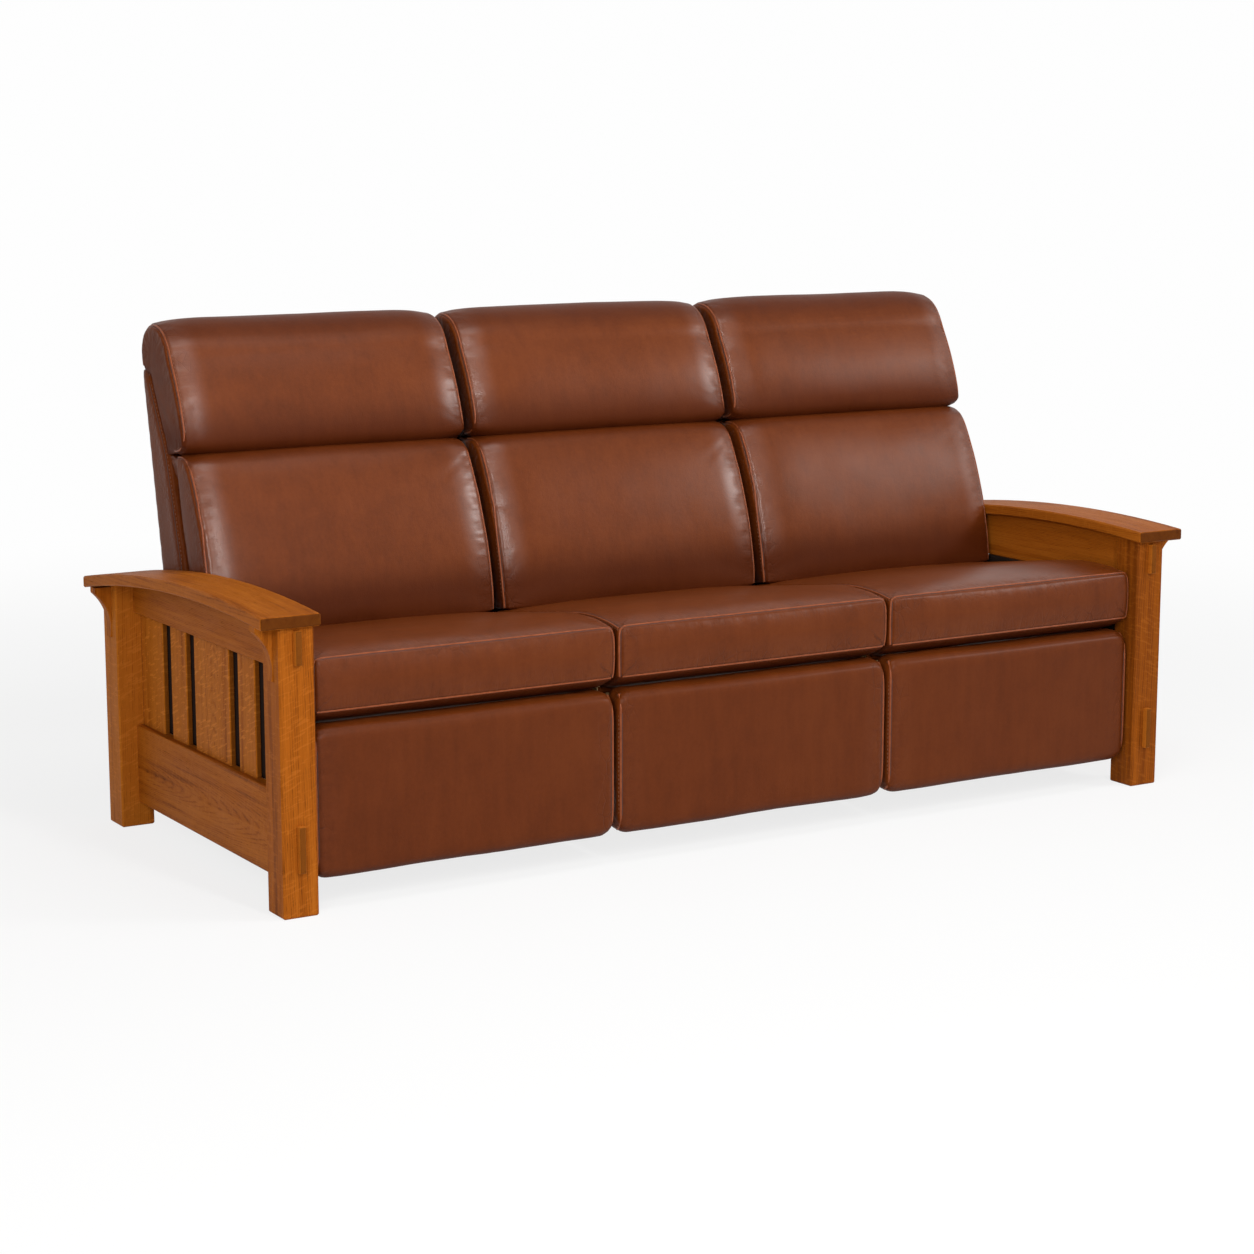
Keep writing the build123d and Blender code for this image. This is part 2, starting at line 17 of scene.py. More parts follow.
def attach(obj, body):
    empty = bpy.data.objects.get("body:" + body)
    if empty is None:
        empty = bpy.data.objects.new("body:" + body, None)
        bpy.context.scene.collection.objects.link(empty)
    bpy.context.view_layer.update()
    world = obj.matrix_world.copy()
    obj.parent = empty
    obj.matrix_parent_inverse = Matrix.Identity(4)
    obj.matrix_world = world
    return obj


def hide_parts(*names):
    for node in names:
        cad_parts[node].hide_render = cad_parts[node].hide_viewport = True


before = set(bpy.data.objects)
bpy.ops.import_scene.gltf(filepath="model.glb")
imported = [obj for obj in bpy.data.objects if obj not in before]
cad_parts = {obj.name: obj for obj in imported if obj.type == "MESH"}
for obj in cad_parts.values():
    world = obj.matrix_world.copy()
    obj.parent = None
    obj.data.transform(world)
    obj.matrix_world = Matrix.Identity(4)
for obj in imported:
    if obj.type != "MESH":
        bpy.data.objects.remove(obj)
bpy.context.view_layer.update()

# %% [markdown]
# ## Colours and a way to write shader maths
#
# A finish is a net of nodes. Wiring them one by one hides the idea, so one small class wraps a
# socket and lets Python's operators add the Math nodes, and one method adds any other node. The
# same two classes write the room, the floor and the sewing later on.
# Colours are noted as the eye reads them on a screen and turned to linear light here.

# %% Colours, and the Flow, Net and Finish classes


def tint(red, green, blue):
    """A linear colour from its screen values, 0 to 255."""
    linear = []
    for part in (red, green, blue):
        part = part / 255
        linear.append(part / 12.92 if part <= 0.04045 else ((part + 0.055) / 1.055) ** 2.4)
    return (*linear, 1.0)


def operator(operation, turned=False):
    """What one of Python's operators does to two flows: it adds a Math node."""

    def method(self, other):
        return self.net.maths(operation, *((other, self) if turned else (self, other)))

    return method


class Flow:
    """A value on its way through a net."""

    def __init__(self, net, socket):
        self.net = net
        self.socket = socket

    __add__ = __radd__ = operator("ADD")
    __mul__ = __rmul__ = operator("MULTIPLY")
    __sub__, __rsub__ = operator("SUBTRACT"), operator("SUBTRACT", turned=True)
    __pow__ = operator("POWER")


class Net:
    """A tree of nodes that is written as Python expressions."""

    def __init__(self, tree):
        self.tree = tree

    def node(self, kind, settings=None, sockets=None, output=0, **named):
        """Any node: its settings are set first, then its sockets, by index or by name."""
        made = self.tree.nodes.new(kind)
        for name, value in (settings or {}).items():
            if name == "stops":
                stops = made.color_ramp.elements
                while len(stops) < len(value):
                    stops.new(0.5)
                for stop, (position, colour) in zip(stops, value):
                    stop.position = position
                    stop.color = colour
            else:
                setattr(made, name, value)
        named = {name.replace("_", " "): value for name, value in named.items()}
        for name, value in {**(sockets or {}), **named}.items():
            if isinstance(value, Flow):
                self.tree.links.new(value.socket, made.inputs[name])
            else:
                made.inputs[name].default_value = value
        return Flow(self, made.outputs[output]) if made.outputs else None

    def maths(self, operation, *values, kind="Math", output=0, **named):
        """A Math or VectorMath node over numbers, places and flows."""
        values = dict(enumerate(values))
        return self.node(f"ShaderNode{kind}", {"operation": operation}, values, output, **named)

    def point(self, x, y, z):
        return self.node("ShaderNodeCombineXYZ", X=x, Y=y, Z=z)

    def shaders(self, share, first, second):
        """Two shaders mixed."""
        return self.node("ShaderNodeMixShader", None, {0: share, 1: first, 2: second})


class Finish(Net):
    """A material with its net of nodes."""

    def __init__(self, name):
        self.material = bpy.data.materials.new(name)
        self.material.use_nodes = True
        super().__init__(self.material.node_tree)
        self.tree.nodes.clear()

    def place(self):
        """Where a point of the piece is, in metres."""
        return self.node("ShaderNodeTexCoord", output="Object")

    def axes(self):
        """The place as three numbers."""
        outputs = self.node("ShaderNodeSeparateXYZ", Vector=self.place()).socket.node.outputs
        return [Flow(self, outputs[axis]) for axis in range(3)]

    def kept(self, name):
        """A number kept on the points of the piece."""
        return self.node("ShaderNodeAttribute", {"attribute_name": name}, output=2)

    def clouds(self, place, scale, detail=2.0, roughness=0.5, distortion=0.0, output=0):
        """Soft noise from 0 to 1, with one scale or with one for each axis."""
        if isinstance(scale, tuple):
            place, scale = self.maths("MULTIPLY", place, scale, kind="VectorMath"), 1.0
        look = {"Detail": detail, "Roughness": roughness, "Distortion": distortion}
        return self.node("ShaderNodeTexNoise", None, look, output, Vector=place, Scale=scale)

    def cells(self, place, scale, feature="F1"):
        """Distance in a net of cells, to the middle or to the edge."""
        return self.node("ShaderNodeTexVoronoi", {"feature": feature}, Vector=place, Scale=scale)

    def between(self, value, low, high):
        """0 below low, 1 above high, and a smooth rise between them."""
        smooth = {"interpolation_type": "SMOOTHSTEP"}
        return self.node("ShaderNodeMapRange", smooth, Value=value, From_Min=low, From_Max=high)

    def ramp(self, share, *stops):
        """A colour from a ramp of positions and colours."""
        return self.node("ShaderNodeValToRGB", {"stops": stops}, {0: share})

    def mixed(self, share, first, second):
        """Two colours mixed."""
        return self.node("ShaderNodeMix", {"data_type": "RGBA"}, {0: share, 6: first, 7: second}, 2)

    def relief(self, height, distance, strength, **below):
        """A bump from a height map, as deep as the distance in metres, on top of another or none."""
        return self.node("ShaderNodeBump", Height=height, Distance=distance, Strength=strength, **below)

    def surface(self, **sockets):
        """Close the net with the main shader and its values."""
        shader = self.node("ShaderNodeBsdfPrincipled", **sockets)
        self.node("ShaderNodeOutputMaterial", Surface=shader)
        return self.material


print("a chestnut brown is", [round(part, 3) for part in tint(110, 58, 35)[:3]], "in linear light")

# %% [markdown]
# ## Oak
#
# The arms are stained oak. Oak shows three things: the rings of the tree, which make straight lines
# on a quartered board and arches on a flat one, short dark pores, and pale flecks that cross the
# grain where a ray was cut lengthwise. A flat wood image could be wrapped round the pieces, but its
# grain would run the wrong way on half of them. So the net rebuilds the tree: it measures how far a
# point is from the middle of a trunk that leans a little, and every board is cut from its own trunk.

# %% Build the oak finish
oak_light = tint(172, 98, 28)
oak_middle = tint(148, 78, 17)
oak_dark = tint(112, 54, 10)
oak_pore = tint(66, 30, 6)
oak_ray = tint(204, 122, 46)
ring_width = 0.0034


def oak_finish(
    name, grain, face, trunk, lean, flecks, dark, joints=(), end_at=0.0, end_shade=0.0, outer=0.0
):
    """Oak whose grain runs along one axis and whose broad face lies along another.

    The board is cut from a trunk at a place across and deep of it that leans along the grain. Joints
    part the boards of one node. End grain shows past end_at, and deeper than outer, on the sides of
    the gaps between boards, painted shade darkens the wood.
    """
    oak = Finish(name)
    axes = oak.axes()
    axes[0] = oak.maths("ABSOLUTE", axes[0])
    along, across, deep = axes[grain], axes[face], axes[3 - grain - face]
    board = 0.0
    for joint in joints:
        board = oak.maths("GREATER_THAN", across, joint) + board
    shift = board * 0.171 if joints else 0.0
    spot = oak.point(across + shift, deep, along + shift * 3.7 if joints else along)
    trunk_across, trunk_deep = trunk
    sway = oak.clouds(spot, (5.0, 5.0, 1.4))
    ripple = oak.clouds(spot, (60.0, 60.0, 6.0))
    side_step = across + (sway - 0.5) * 0.016 - trunk_across
    depth_step = deep - trunk_deep + along * lean + (shift * 0.4 if joints else 0.0)
    radius = (side_step * side_step + depth_step * depth_step) ** 0.5 + (ripple - 0.5) * 0.0022
    wave = oak.maths("SINE", radius * (2 * math.pi / ring_width))
    fibre = oak.clouds(spot, (900.0, 900.0, 14.0), 3.0, 0.6)
    streak = oak.clouds(spot, (120.0, 120.0, 3.5), 3.0, 0.6)
    cloud = oak.clouds(spot, (14.0, 14.0, 2.2))
    band = oak.between(oak.clouds(spot, (48.0, 48.0, 1.5), 3.0, 0.55), 0.53, 0.7)
    rings = (wave * 0.5 + 0.5) ** 3.0 * oak.between(streak, 0.3, 0.62)
    pores = oak.between(oak.clouds(spot, (1500.0, 1500.0, 60.0), 1.0), 0.56, 0.68)
    pores = pores * (rings * 0.75 + 0.25)
    # dark shifts the whole tone of a cut: partly the wood's own tone, partly painted shade and painted light
    tone = rings * 0.24 + streak * 0.5 + fibre * 0.4 + cloud * 0.45 + band * 0.46 + (dark - 0.46)
    colour = oak.ramp(tone, (0.05, oak_light), (0.45, oak_middle), (0.95, oak_dark))
    colour = oak.mixed(pores * 0.75, colour, oak_pore)
    if flecks:
        slant = oak.point(across + along * 0.22 + shift, deep, along + across * 0.35)
        ray = oak.between(oak.clouds(slant, (38.0, 38.0, 190.0), 2.0, 0.5, 0.6), 0.56, 0.63)
        colour = oak.mixed(ray * flecks, colour, oak_ray)
        pores = pores * (1.0 - ray * flecks)
    if end_shade:
        cut = oak.between(oak.maths("ABSOLUTE", along), end_at - 0.003, end_at - 0.001)
        colour = oak.mixed(cut * end_shade, colour, oak_pore)
    # Painted shade on the slats' sides deeper than their outer face, in the gaps between them
    if outer:
        painted_gap_shade = 1.0 - oak.between(deep, outer - 0.004, outer - 0.001)
        colour = oak.mixed(painted_gap_shade * 0.62, colour, oak_pore)
    worn = oak.clouds(spot, (40.0, 40.0, 10.0), 3.0)
    return oak.surface(
        Base_Color=colour,
        Roughness=pores * 0.2 + worn * 0.16 + 0.42,
        Normal=oak.relief(rings * -0.3 - pores + fibre * 0.35, 0.0005, 0.55),
        Specular_IOR_Level=0.05,
        Specular_Tint=(1.0, 0.75, 0.5, 1.0),
    )


posts_front = -445.0  # the front of the arms' posts, in millimetres
slat_outer = 1.0255
slat_joints = [(posts_front + back) / 1000 for back in (215, 340, 560, 685)]
# The number given as dark is partly each cut's own tone and partly painted light: the right front post is
# darkened and the rear posts are lightened to even out how the lamps fall on them.
oak_finishes = {
    "arm_board": oak_finish(
        "oak, arm boards", 1, 0, (0.9, 0.44), 0.03, 0.1, 0.1, end_at=0.46, end_shade=0.85
    ),
    "front_post_right": oak_finish("oak, right front post", 2, 0, (0.7, 0.1), 0.03, 0.1, 0.5),
    "rear_post": oak_finish("oak, rear posts", 2, 0, (0.6, 0.0), 0.03, 0.3, -0.24),
    "post": oak_finish("oak, left front post", 2, 0, (0.6, 0.0), 0.03, 0.15, 0.2),
    "upper_side_rail": oak_finish("oak, upper side rails", 1, 2, (0.1, 1.03), 0.02, 0.0, 0.08),
    "lower_side_rail": oak_finish("oak, lower side rails", 1, 2, (0.13, 1.085), 0.07, 0.1, 0.06),
    "side_slats": oak_finish(
        "oak, slats", 2, 1, (0.0, 1.12), 0.12, 0.5, -0.14, slat_joints, outer=slat_outer
    ),
    "corbel": oak_finish("oak, corbels", 2, 1, (0.2, 0.5), 0.05, 0.0, 0.06),
    "tenon_ends": oak_finish(
        "oak, tenon ends", 1, 0, (1.04, 0.3), 0.2, 0.0, -0.3, end_at=0.458, end_shade=0.7
    ),
}
print(len(oak_finishes), "cuts of oak, with rings", ring_width * 1000, "mm apart")

# %% [markdown]
# ## Leather
#
# The hide is a warm brown with a soft sheen. Up close it has a fine pebbled grain and thin creases
# where it folded before it was stretched, darker than the hide round them, and the hollow of each
# seam is darker too. Beside a seam it puckers. The net gets the distance to the nearest seam from an
# attribute, seam_near, which is 1 on the seam and fades to 0 within 60 mm, and the way along it from
# seam_run, so that puckers stand across the seam wherever it goes. A third one, tuck, is painted
# shade: it is 1 where the hide turns away under a cushion, sits low, faces the front or lies on top,
# and darkens the colour there. A fourth, polish, is the shine of hide that is drawn tight beside the
# seams of the back.

# %% Build the leather finish
hide_light = tint(121, 61, 24)
hide_middle = tint(99, 45, 13)
hide_dark = tint(73, 30, 5)
hide_seam = tint(40, 14, 5)
hide_painted_shade = tint(60, 20, 5)


def leather_finish(name, crackle=0.5, shine=0.1, sheen=0.12):
    """Smooth pull-up leather, darker in its creases and at its seams."""
    hide = Finish(name)
    place = hide.place()
    near, run, tuck, polish = (hide.kept(name) for name in ("seam_near", "seam_run", "tuck", "polish"))
    broad = hide.clouds(place, 3.2)
    mottle = hide.clouds(place, 17.0, 4.0, 0.62)
    speck = hide.clouds(place, 140.0, 3.0, 0.6)
    pull = hide.clouds(place, (46.0, 46.0, 7.0), 3.0, 0.6)
    push = hide.clouds(place, 9.0, output=1)
    bent = hide.maths("MULTIPLY_ADD", push, (0.035, 0.035, 0.035), place, kind="VectorMath")
    bent = hide.maths("MULTIPLY", bent, (1.0, 1.0, 0.62), kind="VectorMath")
    net = hide.cells(bent, 34.0, "DISTANCE_TO_EDGE")
    reach = hide.between(near, 0.1, 0.8)
    where = hide.between(hide.clouds(place, 9.0), 0.42, 0.66) * (reach * 0.9 + 0.1)
    crease = (1.0 - hide.between(net, 0.0, 0.05)) * where * crackle
    pebble = hide.cells(place, 620.0)
    fold = hide.clouds(hide.point(run * 62.0, near * 2.4, 0.0), 1.0)
    fine_fold = hide.clouds(hide.point(run * 170.0, near * 5.0, 3.0), 1.0, 1.0)
    pucker = (fold * 0.7 + fine_fold * 0.3 - 0.5) * reach
    groove = hide.between(near, 0.955, 0.985)
    tone = broad * 0.34 + mottle * 0.28 + speck * 0.2 + pull * 0.32 + pucker * 0.35 - 0.23
    colour = hide.ramp(tone, (0.0, hide_dark), (0.34, hide_middle), (0.85, hide_light))
    colour = hide.mixed(crease * 0.5, colour, hide_dark)
    # Painted shade where the hide turns under, sits low, faces the front or lies on top
    colour = hide.mixed(tuck * 0.72, colour, hide_painted_shade)
    colour = hide.mixed(groove * 0.7, colour, hide_seam)
    soft = hide.relief(pucker, 0.0026, 0.9)
    folded = hide.relief(mottle * 0.5 + speck * 0.12 - crease, 0.0016, 0.8, Normal=soft)
    return hide.surface(
        Base_Color=colour,
        Roughness=mottle * 0.12 + speck * 0.05 + tuck * 0.2 - reach * 0.03 + 0.27,
        Normal=hide.relief(pebble, 0.00035, 0.45, Normal=folded),
        Specular_IOR_Level=shine,
        Specular_Tint=(1.0, 0.78, 0.66, 1.0),
        Coat_Weight=polish * (mottle * 0.8 + 0.5) + (1.0 - tuck) * sheen,
        Coat_Roughness=0.3,
    )


leather = leather_finish("sofa hide")
back_leather = leather_finish("sofa hide, backs", 0.25, 0.05, 0.0)

# The dark fold of hide inside a seam
net = Finish("seam hide")
mottle = net.clouds(net.place(), 60.0, 3.0)
colour = net.mixed(mottle, tint(38, 15, 8), tint(70, 31, 18))
seam_leather = net.surface(Base_Color=colour, Roughness=mottle * 0.1 + 0.6)

# The fold beside a seam, in a mottled hide lighter than the panels
net = Finish("rib hide")
rib_mottle = net.clouds(net.place(), 90.0, 3.0)
colour = net.mixed(rib_mottle, tint(100, 43, 17), tint(152, 82, 46))
normal = net.relief(net.cells(net.place(), 620.0), 0.0003, 0.4)
rough = rib_mottle * 0.1 + 0.3
rib_leather = net.surface(Base_Color=colour, Roughness=rough, Normal=normal, Specular_IOR_Level=0.2)
print(leather.name, "uses", len(leather.node_tree.nodes), "nodes")

# %% [markdown]
# ## Thread, hidden wood and steel
#
# The stitches are waxed thread, a little lighter than the hide. Inside, nobody stained anything: the
# seat frames and cross rails are plain sawn hardwood, the recliner mechanism is dipped in black
# paint that has worn at its edges, and the zigzag springs are bright drawn wire.

# %% Build the small finishes
# Twisted thread, with its strands as a fine slanting ripple
net = Finish("thread")
x, y, z = net.axes()
twist = net.maths("SINE", (x + y + z) * 4200.0)
fuzz = net.clouds(net.place(), 700.0, 2.0)
colour = net.mixed(twist * 0.25 + fuzz * 0.5, tint(96, 52, 33), tint(150, 96, 66))
thread = net.surface(Base_Color=colour, Roughness=0.6, Normal=net.relief(twist, 0.0003, 0.5))

# Sawn hardwood with faint saw marks and no stain
net = Finish("plain hardwood")
x, y, z = net.axes()
bands = net.clouds(net.place(), (9.0, 60.0, 60.0), 3.0)
fibre = net.clouds(net.place(), (60.0, 700.0, 700.0))
saw = net.maths("SINE", (x + y * 0.9) * 1500.0)
stops = [(0.25, tint(214, 184, 138)), (0.55, tint(190, 154, 108)), (0.85, tint(150, 114, 74))]
colour = net.ramp(bands * 0.7 + fibre * 0.4 - 0.05, *stops)
normal = net.relief(saw * 0.3 + fibre, 0.0005, 0.4)
plain_wood = net.surface(Base_Color=colour, Roughness=fibre * 0.2 + 0.55, Normal=normal)

# Steel plate in black paint, dusty and a little scratched
net = Finish("black painted steel")
dust = net.clouds(net.place(), 22.0, 4.0, 0.6)
scratch = net.between(net.clouds(net.place(), (40.0, 400.0, 90.0), 3.0), 0.68, 0.74)
colour = net.mixed(dust * 0.5, tint(30, 30, 32), tint(58, 56, 54))
colour = net.mixed(scratch, colour, tint(120, 120, 122))
normal = net.relief(net.clouds(net.place(), 900.0, 2.0), 0.0001, 0.5)
rough, bare = dust * 0.25 + 0.32, scratch * 0.8 + 0.1
black_steel = net.surface(Base_Color=colour, Roughness=rough, Metallic=bare, Normal=normal)

# Bright drawn wire, with the die's marks along it
net = Finish("spring steel")
drawn_marks = net.clouds(net.place(), 300.0)
bloom = net.clouds(net.place(), 18.0, 3.0)
colour = net.mixed(bloom, tint(150, 150, 152), tint(188, 186, 182))
normal = net.relief(drawn_marks, 0.0001, 0.3)
rough = drawn_marks * 0.2 + 0.25
spring_steel = net.surface(Base_Color=colour, Roughness=rough, Metallic=1.0, Normal=normal)
print("small finishes:", thread.name, "|", plain_wood.name, "|", black_steel.name, "|", spring_steel.name)

# %% [markdown]
# ## Finish the pieces from the frame
#
# The posts, rails, slats and links have their right shape already. Each gets its finish in its own
# material slots, and nothing about its mesh or place changes.

# %% Dress the frame's own pieces
kinds = {
    "seat_frame": plain_wood,
    "base_rails": plain_wood,
    "cross_rail": plain_wood,
    "mechanism_frame": black_steel,
    "link": black_steel,
    "upper_arm": black_steel,
    "lower_arm": black_steel,
    "brackets": black_steel,
    "seat_springs": spring_steel,
}
kinds.update(oak_finishes)
dressed = {}
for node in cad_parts:
    finish = next((kinds[kind] for kind in kinds if kind in node), back_leather)
    fitted = bpy.data.objects[node]
    if not fitted.material_slots:
        fitted.data.materials.append(finish)
    for slot in fitted.material_slots:
        slot.material = finish
    dressed[finish.name] = dressed.get(finish.name, 0) + 1
for name, count in dressed.items():
    print(count, "pieces in", name)

# %% [markdown]
# ## Camera, light and floor
#
# The photo was taken from the left and a little above, with a long lens, against white paper. The
# camera's place comes from fitting it to the posts and boards of the arms. The light is a broad
# soft panel at the upper left, a weaker one high at the right and an even pale room. A tall strip in
# front shows only in the hide that turns towards the left seams, as a long soft highlight. The floor
# and the backdrop only look white to the camera and to reflections, so that they add no light of
# their own, and the floor keeps the sofa's shadow.

# %% Place the camera
studio = bpy.context.scene
studio.view_settings.view_transform = "Standard"
camera_place = (-3.157, -5.1075, 1.4695)
camera_yaw, camera_pitch = 31.265, 10.171
focal_pixels, frame_pixels = 2790.2, 1254.0


def show(name, content):
    """An object in the scene for a mesh, a lamp or a camera."""
    thing = bpy.data.objects.new(name, content)
    studio.collection.objects.link(thing)
    return thing


lens = bpy.data.cameras.new("camera")
lens.sensor_width = 36.0
lens.lens = focal_pixels / frame_pixels * lens.sensor_width
lens.clip_end = 60.0
camera = show("camera", lens)
camera.rotation_euler = (math.radians(90.0 - camera_pitch), 0.0, -math.radians(camera_yaw))
camera.location = camera_place
studio.camera = camera
print("a lens of", round(lens.lens, 1), "mm")

# %% Light the room


def soft_panel(name, place, target, size, power, colour=(1.0, 1.0, 1.0)):
    """A square lamp that faces a target."""
    lamp = bpy.data.lights.new(name, "AREA")
    lamp.shape = "RECTANGLE"
    lamp.size, lamp.size_y = size
    lamp.energy = power
    lamp.color = colour
    panel = show(name, lamp)
    panel.location = place
    panel.rotation_euler = (Vector(target) - Vector(place)).to_track_quat("-Z", "Y").to_euler()


soft_panel("key panel", (-3.9, -3.8, 2.3), (-0.2, 0.0, 0.6), (2.0, 1.8), 108.0, (1.0, 0.985, 0.96))
soft_panel("side panel", (5.7, -4.4, 4.3), (0.0, 0.0, 0.7), (1.5, 1.6), 190.0)
soft_panel("front strip", (-0.4, -4.7, 3.0), (0.0, 0.0, 0.8), (0.35, 3.4), 116.0)
soft_panel("top panel", (0.0, -1.2, 4.0), (0.0, 0.0, 0.4), (2.4, 1.2), 40.0)


def pale_rays(net):
    """1 for the rays that show the background: to the camera, in a reflection or through glass."""
    share = net.node("ShaderNodeLightPath", output="Is Camera Ray")
    for kind in ("Is Glossy Ray", "Is Transmission Ray"):
        share = net.maths("MAXIMUM", share, net.node("ShaderNodeLightPath", output=kind))
    return share


white = (1.0, 1.0, 1.0, 1.0)
room_light, paper_white = 0.3, 0.99
room = bpy.data.worlds.new("room")
studio.world = room
room.use_nodes = True
air = Net(room.node_tree)
air.tree.nodes.clear()
strengths = (room_light, paper_white)
dim, bright = [air.node("ShaderNodeBackground", Color=white, Strength=one) for one in strengths]
air.node("ShaderNodeOutputWorld", Surface=air.shaders(pale_rays(air), dim, bright))
print("three panels and a strip in an even room")

# %% Lay the floor
paper = Finish("white paper")
lit = paper.node("ShaderNodeBsdfDiffuse", Color=tint(238, 238, 237))
glow = paper.node("ShaderNodeEmission", Color=white, Strength=paper_white)
spread = paper.maths("LENGTH", paper.place(), kind="VectorMath", output=1)
paper_share = pale_rays(paper) * (paper.between(spread, 1.5, 4.5) * 0.2 + 0.8)
paper.node("ShaderNodeOutputMaterial", Surface=paper.shaders(paper_share, lit, glow))
floor_radius = 45.0


def new_piece(name, net, finish=None):
    """A piece in the scene from a finished net of faces."""
    mesh = bpy.data.meshes.new(name)
    net.to_mesh(mesh)
    net.free()
    if finish:
        mesh.materials.append(finish)
    return show(name, mesh)


floor_net = bmesh.new()
bmesh.ops.create_circle(floor_net, cap_ends=True, segments=96, radius=floor_radius)
new_piece("floor", floor_net, paper.material)
print("a floor", 2 * floor_radius, "m wide")

# %% [markdown]
# ## How the upholstery is drawn
#
# Seen from the side, each cushion is a closed outline of lines and arcs. The same outline stands at
# every station across the seat, drawn in a little towards the two ends, where the cover is sewn to
# its side panel. The outlines repeat the sizes of the solids behind them, in millimetres: "back" is
# a distance behind the arms' front posts, and a share is a place in the box round the whole back.

# %% Outlines in millimetres
seat_pitch = 671.0
cushion_half = 330.5
back_half = 325.5


def at(back, height):
    """A point of an outline, as y and z in millimetres."""
    return Vector((back + posts_front, height))


def back_at(depth, rise, draw=0.0):
    """A point of the back's outline from its shares, drawn in towards the slab."""
    return at(498.0 + 358.0 * depth + draw, 453.0 + 621.0 * rise)


def stroke(start, *rest, spacing=9.0):
    """Points along a line, or along the arc through three points, without the last one."""
    end = rest[-1]
    if len(rest) == 1:
        count = max(1, round((end - start).length / spacing))
        return [start.lerp(end, step / count) for step in range(count)]
    middle = rest[0]
    first, second = middle - start, end - start
    area = 2.0 * (first.x * second.y - first.y * second.x)
    offset_x = (second.y * first.length_squared - first.y * second.length_squared) / area
    offset_y = (first.x * second.length_squared - second.x * first.length_squared) / area
    centre = start + Vector((offset_x, offset_y))
    radius = (start - centre).length
    from_angle = math.atan2(*(start - centre).yx)
    swing = math.atan2(*(end - centre).yx) - from_angle
    turn = 1.0 if area > 0 else -1.0
    while swing * turn < 0:
        swing += 2.0 * math.pi * turn
    count = max(3, round(abs(swing) * radius / spacing))
    angles = [from_angle + swing * step / count for step in range(count)]
    return [centre + Vector((math.cos(angle), math.sin(angle))) * radius for angle in angles]


def drawn(start, *moves):
    """Strokes that follow each other: to a point, or through the first point of a pair."""
    parts = []
    for move in moves:
        through = move if isinstance(move, tuple) else (move,)
        parts.append(stroke(start, *through))
        start = through[-1]
    return parts


def seat_outline(draw):
    """The seat cushion: front boxing, crown, fall to the rear, underside and tuck."""
    front = 18.0 + draw / 2
    low, high, tuck = at(front, 385.0), at(front, 493.0 - draw), at(112.0, 352.0)
    return drawn(
        low,
        (at(front - 4.0, 439.0), high),
        (at(125.0, 505.0 - draw), at(233.0, 495.0 - draw)),
        at(545.0, 441.0),
        at(545.0, 352.0),
        tuck,
        ((low + tuck) / 2 - Vector((3.0, 3.0)), low),
    )


def lumbar_outline(draw):
    """The lumbar cushion: a full belly, a round brow and the crease above it."""
    front = back_at(0.005, 0.0, draw)
    return drawn(
        front,
        (back_at(0.07, 0.205, draw), back_at(0.32, 0.54, draw)),
        (back_at(0.4, 0.563, draw), back_at(0.535, 0.556)),
        back_at(0.637, 0.56),
        back_at(0.444, 0.192),
        back_at(0.345, 0.0),
        front,
    )


def headrest_outline(draw):
    """The headrest: a roll that leans forward and laps over the slab's top."""
    slab_top = back_at(0.885, 0.819)
    heel = back_at(0.637, 0.56).lerp(slab_top, 0.05)
    return drawn(
        heel,
        back_at(0.52, 0.575),
        (back_at(0.425, 0.583, draw / 2), back_at(0.358, 0.604, draw)),
        (back_at(0.44, 0.745, draw), back_at(0.565, 0.882, draw)),
        (back_at(0.69, 0.972, draw), back_at(0.845, 1.0) - Vector((0.0, draw))),
        (back_at(1.0, 0.925, -draw / 2), slab_top.lerp(back_at(1.0, 0.84), 0.65)),
        slab_top,
        heel,
    )


def pad_outline(draw):
    """The footrest pad, upright, with a round front and a flat back."""
    front, rear, low, high = 19.0 + draw, 81.0, 59.0, 357.0
    soft, firm = 24.0, 9.0
    bend = soft * (1 - math.sqrt(0.5))
    return drawn(
        at(front, low + soft),
        at(front, high - soft),
        (at(front + bend, high - bend), at(front + soft, high)),
        at(rear - firm, high),
        at(rear, high - firm),
        at(rear, low + firm),
        at(rear - firm, low),
        at(front + soft, low),
        (at(front + bend, low + bend), at(front, low + soft)),
    )


for outline in (seat_outline, lumbar_outline, headrest_outline, pad_outline):
    print(outline.__name__, "has", sum(len(part) for part in outline(0.0)), "points")

# %% [markdown]
# ## From an outline to a skin
#
# A skin is the outline repeated across the seat and closed at both ends. The ends are rounded by
# setting the outline in step by step, as a thick hide does when it turns over an edge. The panels
# start flat here, level with their seams, because the stuffing will fill them out later.

# %% Draw a closed skin


def set_in(points, inset):
    """A closed outline moved inwards by the same distance all round."""
    moved = []
    total = sum(a.x * b.y - b.x * a.y for a, b in zip(points, points[1:] + points[:1]))
    side = 1.0 if total > 0 else -1.0
    for before, here, after in zip(points[-1:] + points[:-1], points, points[1:] + points[:1]):
        along = (after - before).normalized()
        moved.append(here + Vector((-along.y, along.x)) * inset * side)
    return moved


def bridge(net, near, far):
    """Faces from one loop of points to the next."""
    for index in range(len(near)):
        net.faces.new((near[index - 1], near[index], far[index], far[index - 1]))


def close_up(net, loops):
    """Join loops into one body, with a face at each end."""
    for near, far in zip(loops, loops[1:]):
        bridge(net, near, far)
    net.faces.new(loops[0])
    net.faces.new(loops[-1][::-1])


